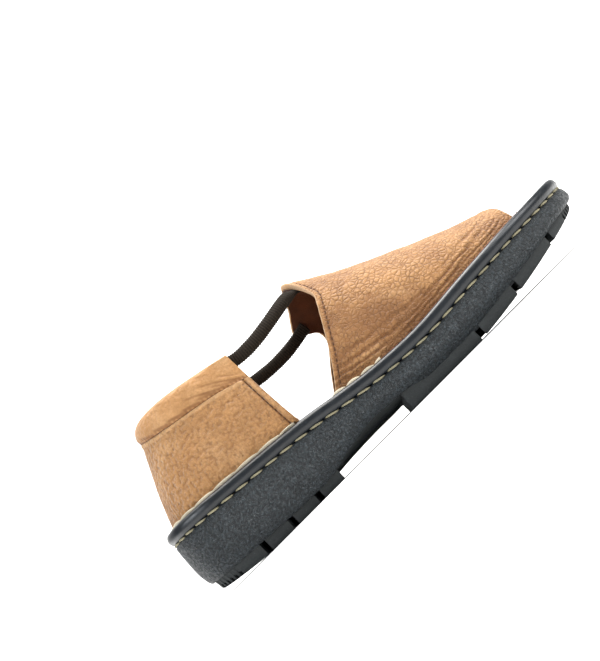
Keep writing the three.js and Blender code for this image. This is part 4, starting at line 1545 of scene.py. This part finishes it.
def strap_mesh(strap, make):
    """A ribbed elastic cord, flattened where it is sewn."""
    mesh = new_mesh()
    route, outs, fulls = strap_route(strap)
    run = Run(route, outs)
    steps = 28
    per_rib = 6
    count = round(run.length / make.rib_pitch) * per_rib
    rings, shading_and_soil_values = [], []
    for i in range(count + 1):
        distance = i / count * run.length
        centre, out = run.at(distance)
        ahead = run.at(distance + 0.3 * MM)[0] - run.at(distance - 0.3 * MM)[0]
        up = ahead.cross(out).normalized()
        side = up.cross(ahead).normalized()
        index = int(clamp(bisect_right(run.travelled, distance) - 1, 0, len(fulls) - 1))
        full = fulls[index]
        thickness = lerp(STRAP_END_THICKNESS, STRAP_THICKNESS, full)
        valley = (0.5 + 0.5 * math.cos(2 * math.pi * i / per_rib)) ** 1.5
        swell = 1 + 0.03 * noise.noise(centre / (6 * MM))
        shrink = 0.28 * MM * valley
        ring, ring_shading_and_soil = [], []
        for k in range(steps):
            turn = 2 * math.pi * k / steps
            high = math.copysign(abs(math.cos(turn)) ** 0.85, math.cos(turn))
            wide = math.copysign(abs(math.sin(turn)) ** 0.85, math.sin(turn))
            spread = up * high * (STRAP_HEIGHT * swell / 2 - shrink)
            ring.append(centre + spread + side * wide * (thickness * swell / 2 - shrink))
            # Each point of a valley gets painted shade in the elastic's colour.
            ring_shading_and_soil.append(valley)
        rings.append(ring)
        shading_and_soil_values.append(ring_shading_and_soil)
    ends = [route[0]] * steps, [route[-1]] * steps
    rings = [ends[0], *rings, ends[1]]
    shading_and_soil_values = [[0.5] * steps, *shading_and_soil_values, [0.5] * steps]
    skin(mesh, rings, looped=True, shading_and_soil_values=shading_and_soil_values)
    return mesh


# Seams and strips
def surface_run(face, places, relief, off):
    points = [face(*place) for place in places]
    normals = [face_normal(face, *place) for place in places]
    lifted = [
        point + normal * (relief(point, *place) + off)
        for point, normal, place in zip(points, normals, places)
    ]
    return Run(lifted, normals)


def throat_stitches(mesh, make):
    arounds = [lerp(0.03, 0.97, i / 500) for i in range(501)]
    places = [(THROAT_SEAM / vamp_run(around), around) for around in arounds]
    run = surface_run(vamp_point, places, vamp_off, 0.12 * MM)
    sew(mesh, run, make.topstitch_pitch)


def front_edge_stitches(mesh, make):
    share = FRONT_SEAM / HEEL_RUN
    for around in (share, 1 - share):
        places = [(lerp(0.14, seam_up(around) - 0.01, i / 200), around) for i in range(201)]
        run = surface_run(heel_point, places, quarter_off, 0.18 * MM)
        sew(mesh, run, make.topstitch_pitch)


def strip_mesh(face, arounds, showing, off, thickness):
    """A thin strip that stands up between the upper and the welt, and shows as far as showing
    tells."""
    mesh = new_mesh()
    section = ((0.45, 1), (0.85, 1), (0.97, 0.75), (1, 0.1), (0.97, -0.6), (0.85, -1), (0.45, -1))
    rings = []
    for around in arounds:
        base, normal = face(around, 0)
        out = Vector((normal.x, normal.y, 0)).normalized()
        height = WELT_HEIGHT * 0.93 + showing(around)
        ring = []
        for level, side in section:
            lean = face(around, height * level)[0]
            spot = Vector((lean.x, lean.y, base.z + height * level))
            ring.append(spot + out * (off + side * thickness / 2))
        rings.append(ring)
    skin(mesh, rings)
    close_ends(mesh)
    return mesh


def beside_quarter(around, height):
    point = heel_point(0, around)
    up = height / (heel_point(1, around).z - point.z)
    return heel_point(up, around), face_normal(heel_point, max(up, 0.02), around)


def beside_vamp(station, height):
    """The vamp's foot at a share of the length, negative on the lateral side, and a height."""
    side = -1 if station < 0 else 1
    x = abs(station) * LENGTH
    y = UPPER_SIDE(x, side)
    lean = min(height / MM, 9) * 0.012 * MM
    ahead = Vector((0.5 * MM, UPPER_SIDE(x + 0.5 * MM, side) - y, 0))
    normal = Vector((ahead.y, -ahead.x, 0)) * -side
    return Vector((x, y - side * lean, seat_level(x) + height)), normal


def scallops(distance, pitch, reach, low):
    """Rounded scallops along an edge."""
    return low + reach * abs(math.sin(math.pi * distance / pitch)) ** 0.6


# Stage
CAMERA_AT = (-0.0549, -0.42885, 0.003)
CAMERA_TURN = -5.479
CAMERA_RISE = 8.361
CAMERA_ROLL = -45.133
FOCAL_PIXELS = 882.4
PHOTO_HEIGHT = 661
SENSOR = 36.0

LIGHTS = rows(
    "name at aim size power colour",
    ("overhead_light", (0.18, 0.04, 1.15), (0, 0, 0.03), 0.9, 27, (1, 0.98, 0.95)),
    ("front_fill", (0.2, -1.1, 0.35), (0, 0, 0.04), 0.9, 0.9, (0.95, 0.97, 1)),
    ("heel_light", (-0.85, -0.5, 0.5), (-0.05, 0, 0.04), 0.5, 5.0, (0.9, 0.95, 1)),
    ("toe_light", (0.9, -0.4, 0.7), (0.1, 0, 0.04), 0.5, 6.8, (0.97, 0.98, 1)),
    ("backdrop_light", (0, 0.6, 1.5), (0, 2, 0.5), 1.6, 40, (1, 1, 1)),
)


def stage_material(looks):
    made, w, shader = new_material("pale_paper")
    place = w.add("ShaderNodeTexCoord").outputs["Object"]
    colour = w.mix(w.noise(place, 0.3, detail=2), darker(looks.floor, 0.985), opaque(looks.floor))
    w.tree.links.new(colour, shader.inputs["Base Color"])
    set_shader(shader, Roughness=0.95, Specular_IOR_Level=0.1)
    return made


def add_backdrop(looks):
    """A pale floor that curves up behind the shoe."""
    mesh = bmesh.new()
    bmesh.ops.create_grid(mesh, x_segments=2, y_segments=160, size=4.0)
    bend_from, radius = 0.25, 1.6
    for vert in mesh.verts:
        past = vert.co.y - bend_from
        if past > 0:
            turn = min(past / radius, math.pi / 2)
            vert.co.y = bend_from + radius * math.sin(turn)
            vert.co.z = radius * (1 - math.cos(turn)) + max(0, past - radius * math.pi / 2)
    data = bpy.data.meshes.new("stage_floor")
    mesh.to_mesh(data)
    mesh.free()
    data.shade_smooth()
    data.materials.append(stage_material(looks))
    floor = bpy.data.objects.new("stage_floor", data)
    bpy.context.scene.collection.objects.link(floor)


def add_lights():
    for row in LIGHTS:
        data = bpy.data.lights.new(row["name"], "AREA")
        data.shape = "SQUARE"
        data.size = row["size"]
        data.energy = row["power"]
        data.color = row["colour"]
        lamp = bpy.data.objects.new(row["name"], data)
        lamp.location = row["at"]
        aim = Vector(row["aim"]) - Vector(row["at"])
        lamp.rotation_euler = aim.to_track_quat("-Z", "Y").to_euler()
        bpy.context.scene.collection.objects.link(lamp)


def add_world():
    world = bpy.data.worlds.new("soft_surroundings")
    world.use_nodes = True
    background = world.node_tree.nodes["Background"]
    background.inputs["Color"].default_value = (0.96, 0.98, 1.0, 1)
    background.inputs["Strength"].default_value = 0.16
    bpy.context.scene.world = world


def add_camera():
    """Looks at the shoe as the photograph does, from just above the floor and rolled."""
    data = bpy.data.cameras.new("photo_camera")
    data.sensor_width = SENSOR
    data.lens = FOCAL_PIXELS * SENSOR / PHOTO_HEIGHT
    data.clip_start = 0.001
    camera = bpy.data.objects.new("photo_camera", data)
    turn = Matrix.Rotation(math.radians(CAMERA_TURN), 4, "Z")
    rise = Matrix.Rotation(math.radians(90 + CAMERA_RISE), 4, "X")
    roll = Matrix.Rotation(math.radians(CAMERA_ROLL), 4, "Z")
    camera.matrix_world = Matrix.Translation(CAMERA_AT) @ turn @ rise @ roll
    bpy.context.scene.collection.objects.link(camera)
    bpy.context.scene.camera = camera


# Settings
class SandalMake(bpy.types.PropertyGroup):
    """Sizes of the sandal's fine work."""

    stitch_pitch: FloatProperty(
        name="Welt Stitch Pitch", description="Distance between the long stitches under the welt",
        default=0.0085, min=0.004, max=0.02, unit="LENGTH", precision=4)
    stitch_length: FloatProperty(
        name="Welt Stitch Length", description="How much of each long stitch shows",
        default=0.0068, min=0.002, max=0.015, unit="LENGTH", precision=4)
    thread_thickness: FloatProperty(
        name="Thread Thickness", description="Thickness of the thread under the welt",
        default=0.00105, min=0.0005, max=0.002, unit="LENGTH", precision=5)
    topstitch_pitch: FloatProperty(
        name="Topstitch Pitch", description="Distance between the small stitches of the upper",
        default=0.0026, min=0.0015, max=0.006, unit="LENGTH", precision=4)
    rib_pitch: FloatProperty(
        name="Elastic Rib Pitch", description="Distance between the ribs of the elastic",
        default=0.00125, min=0.0006, max=0.003, unit="LENGTH", precision=5)
    scallop_pitch: FloatProperty(
        name="Scallop Pitch", description="Distance between the scallops of the cream strip",
        default=0.0098, min=0.004, max=0.02, unit="LENGTH", precision=4)


class SandalLooks(bpy.types.PropertyGroup):
    """Colours and grain of the sandal's finishes."""

    leather: FloatVectorProperty(
        name="Leather", description="Main colour of the nubuck", subtype="COLOR",
        default=(0.505, 0.26, 0.098), min=0, max=1)
    # Also used for the painted highlight on raised lips and below the collar's seam.
    leather_pale: FloatVectorProperty(
        name="Rubbed Leather", description="Colour where the nap is rubbed", subtype="COLOR",
        default=(0.68, 0.41, 0.2), min=0, max=1)
    # Also used for the painted shade in creases, puckers, seams and between the pebbles.
    leather_dark: FloatVectorProperty(
        name="Leather Creases", description="Colour in the lines of the grain", subtype="COLOR",
        default=(0.19, 0.074, 0.022), min=0, max=1)
    grain_size: FloatProperty(
        name="Grain Size", description="Size of the leather's cells",
        default=0.0022, min=0.0008, max=0.008, unit="LENGTH", precision=4)
    grain_depth: FloatProperty(
        name="Grain Depth", description="Depth of the leather's grain",
        default=0.00045, min=0, max=0.001, unit="LENGTH", precision=5)
    # The lining's colour is darkened beyond its lit colour, as painted shade for the inside of the
    # shoe.
    lining: FloatVectorProperty(
        name="Lining", description="Colour of the lining leather", subtype="COLOR",
        default=(0.1, 0.027, 0.007), min=0, max=1)
    insole: FloatVectorProperty(
        name="Insole", description="Colour of the insole's cover", subtype="COLOR",
        default=(0.5, 0.25, 0.1), min=0, max=1)
    cut_edge: FloatVectorProperty(
        name="Cut Edge", description="Colour of the leather's cut edge", subtype="COLOR",
        default=(0.66, 0.44, 0.27), min=0, max=1)
    welt: FloatVectorProperty(
        name="Welt", description="Colour of the welt", subtype="COLOR",
        default=(0.0085, 0.0115, 0.015), min=0, max=1)
    sole: FloatVectorProperty(
        name="Sole Side", description="Colour of the sole's textured side", subtype="COLOR",
        default=(0.028, 0.037, 0.043), min=0, max=1)
    tread: FloatVectorProperty(
        name="Tread", description="Colour of the lugs", subtype="COLOR",
        default=(0.038, 0.042, 0.043), min=0, max=1)
    elastic: FloatVectorProperty(
        name="Elastic", description="Colour of the elastic straps", subtype="COLOR",
        default=(0.025, 0.017, 0.0105), min=0, max=1)
    cream_thread: FloatVectorProperty(
        name="Welt Thread", description="Colour of the thread under the welt", subtype="COLOR",
        default=(0.42, 0.38, 0.24), min=0, max=1)
    brown_thread: FloatVectorProperty(
        name="Upper Thread", description="Colour of the upper's thread", subtype="COLOR",
        default=(0.14, 0.06, 0.025), min=0, max=1)
    trim: FloatVectorProperty(
        name="Scalloped Strip", description="Colour of the scalloped strip", subtype="COLOR",
        default=(0.9, 0.8, 0.6), min=0, max=1)
    red_edge: FloatVectorProperty(
        name="Forefoot Edge", description="Colour of the rough edge over the welt", subtype="COLOR",
        default=(0.3, 0.12, 0.075), min=0, max=1)
    floor: FloatVectorProperty(
        name="Floor", description="Colour of the stage's floor", subtype="COLOR",
        default=(0.8, 0.8, 0.795), min=0, max=1)


# Operators
class SANDAL_OT_stage(bpy.types.Operator):
    """Adds the camera, the lights and the pale floor"""

    bl_idname = "sandal.stage"
    bl_label = "Stage"

    def execute(self, context):
        add_camera()
        add_backdrop(context.scene.sandal_looks)
        add_lights()
        add_world()
        context.scene.view_settings.view_transform = "Standard"
        return {"FINISHED"}


class SANDAL_OT_outsole(bpy.types.Operator):
    """Makes the outsole's textured side and its cut tread"""

    bl_idname = "sandal.outsole"
    bl_label = "Outsole"

    def execute(self, context):
        finish = finishes(context.scene.sandal_looks)
        body = [finish["side"], finish["tread"]]
        finish_piece("outsole_body", outsole_body(), body, ("outsole",))
        finish_piece(
            "outsole_tread", tread_blocks(), [finish["tread"]], ("outsole",),
            sharp=math.radians(40),
        )
        return {"FINISHED"}


class SANDAL_OT_welt(bpy.types.Operator):
    """Makes the rolled welt and the stitches under it"""

    bl_idname = "sandal.welt"
    bl_label = "Welt"

    def execute(self, context):
        finish = finishes(context.scene.sandal_looks)
        finish_piece("welt_rim", welt_mesh(), [finish["welt"]], ("welt",))
        stitches = welt_stitches(context.scene.sandal_make)
        finish_piece("welt_stitches", stitches, [finish["cream"]])
        return {"FINISHED"}


class SANDAL_OT_insole(bpy.types.Operator):
    """Makes the covered insole"""

    bl_idname = "sandal.insole"
    bl_label = "Insole"

    def execute(self, context):
        finish = finishes(context.scene.sandal_looks)
        cover = [finish["insole"]]
        finish_piece("insole_cover", insole_mesh(), cover, ("insole",))
        return {"FINISHED"}


class SANDAL_OT_vamp(bpy.types.Operator):
    """Makes the creased vamp with its lining and cut edges"""

    bl_idname = "sandal.vamp"
    bl_label = "Vamp"

    def execute(self, context):
        finish = finishes(context.scene.sandal_looks)
        layers = [finish["upper"], finish["lining"], finish["edge"]]
        finish_piece("vamp_leather", vamp_mesh(), layers, ("vamp",))
        return {"FINISHED"}


class SANDAL_OT_quarter(bpy.types.Operator):
    """Makes the quarter with its turned front strips"""

    bl_idname = "sandal.quarter"
    bl_label = "Quarter"

    def execute(self, context):
        finish = finishes(context.scene.sandal_looks)
        layers = [finish["quarter"], finish["lining"]]
        finish_piece("quarter_leather", quarter_mesh(), layers, ("quarter",))
        return {"FINISHED"}


class SANDAL_OT_collar(bpy.types.Operator):
    """Makes the padded collar"""

    bl_idname = "sandal.collar"
    bl_label = "Collar"

    def execute(self, context):
        finish = finishes(context.scene.sandal_looks)
        layers = [finish["collar"], finish["lining"]]
        collar = finish_piece("collar_padding", collar_mesh(), layers, ("collar",))
        return {"FINISHED"}


class SANDAL_OT_straps(bpy.types.Operator):
    """Makes the two ribbed elastic straps"""

    bl_idname = "sandal.straps"
    bl_label = "Elastic Straps"

    def execute(self, context):
        layers = [finishes(context.scene.sandal_looks)["elastic"]]
        for strap in STRAPS:
            mesh = strap_mesh(strap, context.scene.sandal_make)
            finish_piece(strap["name"] + "_elastic", mesh, layers, (strap["name"],))
        return {"FINISHED"}


class SANDAL_OT_seams(bpy.types.Operator):
    """Sews the brown topstitching of the throat and the quarter's front edges"""

    bl_idname = "sandal.seams"
    bl_label = "Topstitching"

    def execute(self, context):
        finish = finishes(context.scene.sandal_looks)
        mesh = new_mesh()
        throat_stitches(mesh, context.scene.sandal_make)
        front_edge_stitches(mesh, context.scene.sandal_make)
        finish_piece("upper_stitches", mesh, [finish["brown"]])
        return {"FINISHED"}


class SANDAL_OT_strips(bpy.types.Operator):
    """Makes the scalloped strip and the rough edge that show over the welt"""

    bl_idname = "sandal.strips"
    bl_label = "Edge Strips"

    def execute(self, context):
        finish = finishes(context.scene.sandal_looks)
        pitch = context.scene.sandal_make.scallop_pitch

        def cream_showing(around):
            return scallops(around * HEEL_RUN, pitch, 0.8 * MM, 1.1 * MM)

        arounds = [lerp(0.015, 0.985, i / 500) for i in range(501)]
        mesh = strip_mesh(beside_quarter, arounds, cream_showing, 0.8 * MM, 0.8 * MM)
        rear = 0.393

        def rear_showing(station):
            return scallops((abs(station) - rear) * LENGTH, 0.8 * pitch, 1.4 * MM, 0.4 * MM)

        for side in (-1, 1):
            stations = [side * lerp(rear, rear + 2.8 * pitch / LENGTH, i / 120) for i in range(121)]
            add_block(mesh, strip_mesh(beside_vamp, stations, rear_showing, 0.75 * MM, 0.7 * MM))
        finish_piece("scalloped_strip", mesh, [finish["trim"]])

        def rough_showing(station):
            place = Vector((abs(station) * LENGTH, station, 0)) / (3 * MM)
            return (0.7 + 0.5 * noise.noise(place)) * MM

        mesh = new_mesh()
        for side in (-1, 1):
            stations = [side * lerp(0.47, 0.865, i / 300) for i in range(301)]
            add_block(mesh, strip_mesh(beside_vamp, stations, rough_showing, 0.45 * MM, 0.8 * MM))
        finish_piece("forefoot_edge", mesh, [finish["red_edge"]])
        return {"FINISHED"}


STEPS = (
    SANDAL_OT_stage,
    SANDAL_OT_outsole,
    SANDAL_OT_welt,
    SANDAL_OT_insole,
    SANDAL_OT_vamp,
    SANDAL_OT_quarter,
    SANDAL_OT_collar,
    SANDAL_OT_straps,
    SANDAL_OT_seams,
    SANDAL_OT_strips,
)


class SANDAL_PT_panel(bpy.types.Panel):
    """Lists the sandal's settings and the steps that make it"""

    bl_idname = "SANDAL_PT_panel"
    bl_label = "Peep Toe Sandal"
    bl_space_type = "VIEW_3D"
    bl_region_type = "UI"
    bl_category = "Sandal"

    def draw(self, context):
        layout = self.layout
        for settings in (context.scene.sandal_make, context.scene.sandal_looks):
            for name in settings.bl_rna.properties.keys():
                if name not in ("rna_type", "name"):
                    layout.prop(settings, name)
        for step in STEPS:
            layout.operator(step.bl_idname)


CLASSES = (SandalMake, SandalLooks, *STEPS, SANDAL_PT_panel)


def register():
    for item in CLASSES:
        bpy.utils.register_class(item)
    bpy.types.Scene.sandal_make = PointerProperty(type=SandalMake)
    bpy.types.Scene.sandal_looks = PointerProperty(type=SandalLooks)


def unregister():
    del bpy.types.Scene.sandal_looks
    del bpy.types.Scene.sandal_make
    for item in reversed(CLASSES):
        bpy.utils.unregister_class(item)


def main():
    register()
    bpy.ops.sandal.stage()
    bpy.ops.sandal.outsole()
    bpy.ops.sandal.welt()
    bpy.ops.sandal.insole()
    bpy.ops.sandal.vamp()
    bpy.ops.sandal.quarter()
    bpy.ops.sandal.collar()
    bpy.ops.sandal.straps()
    bpy.ops.sandal.seams()
    bpy.ops.sandal.strips()


if __name__ == "__main__":
    main()
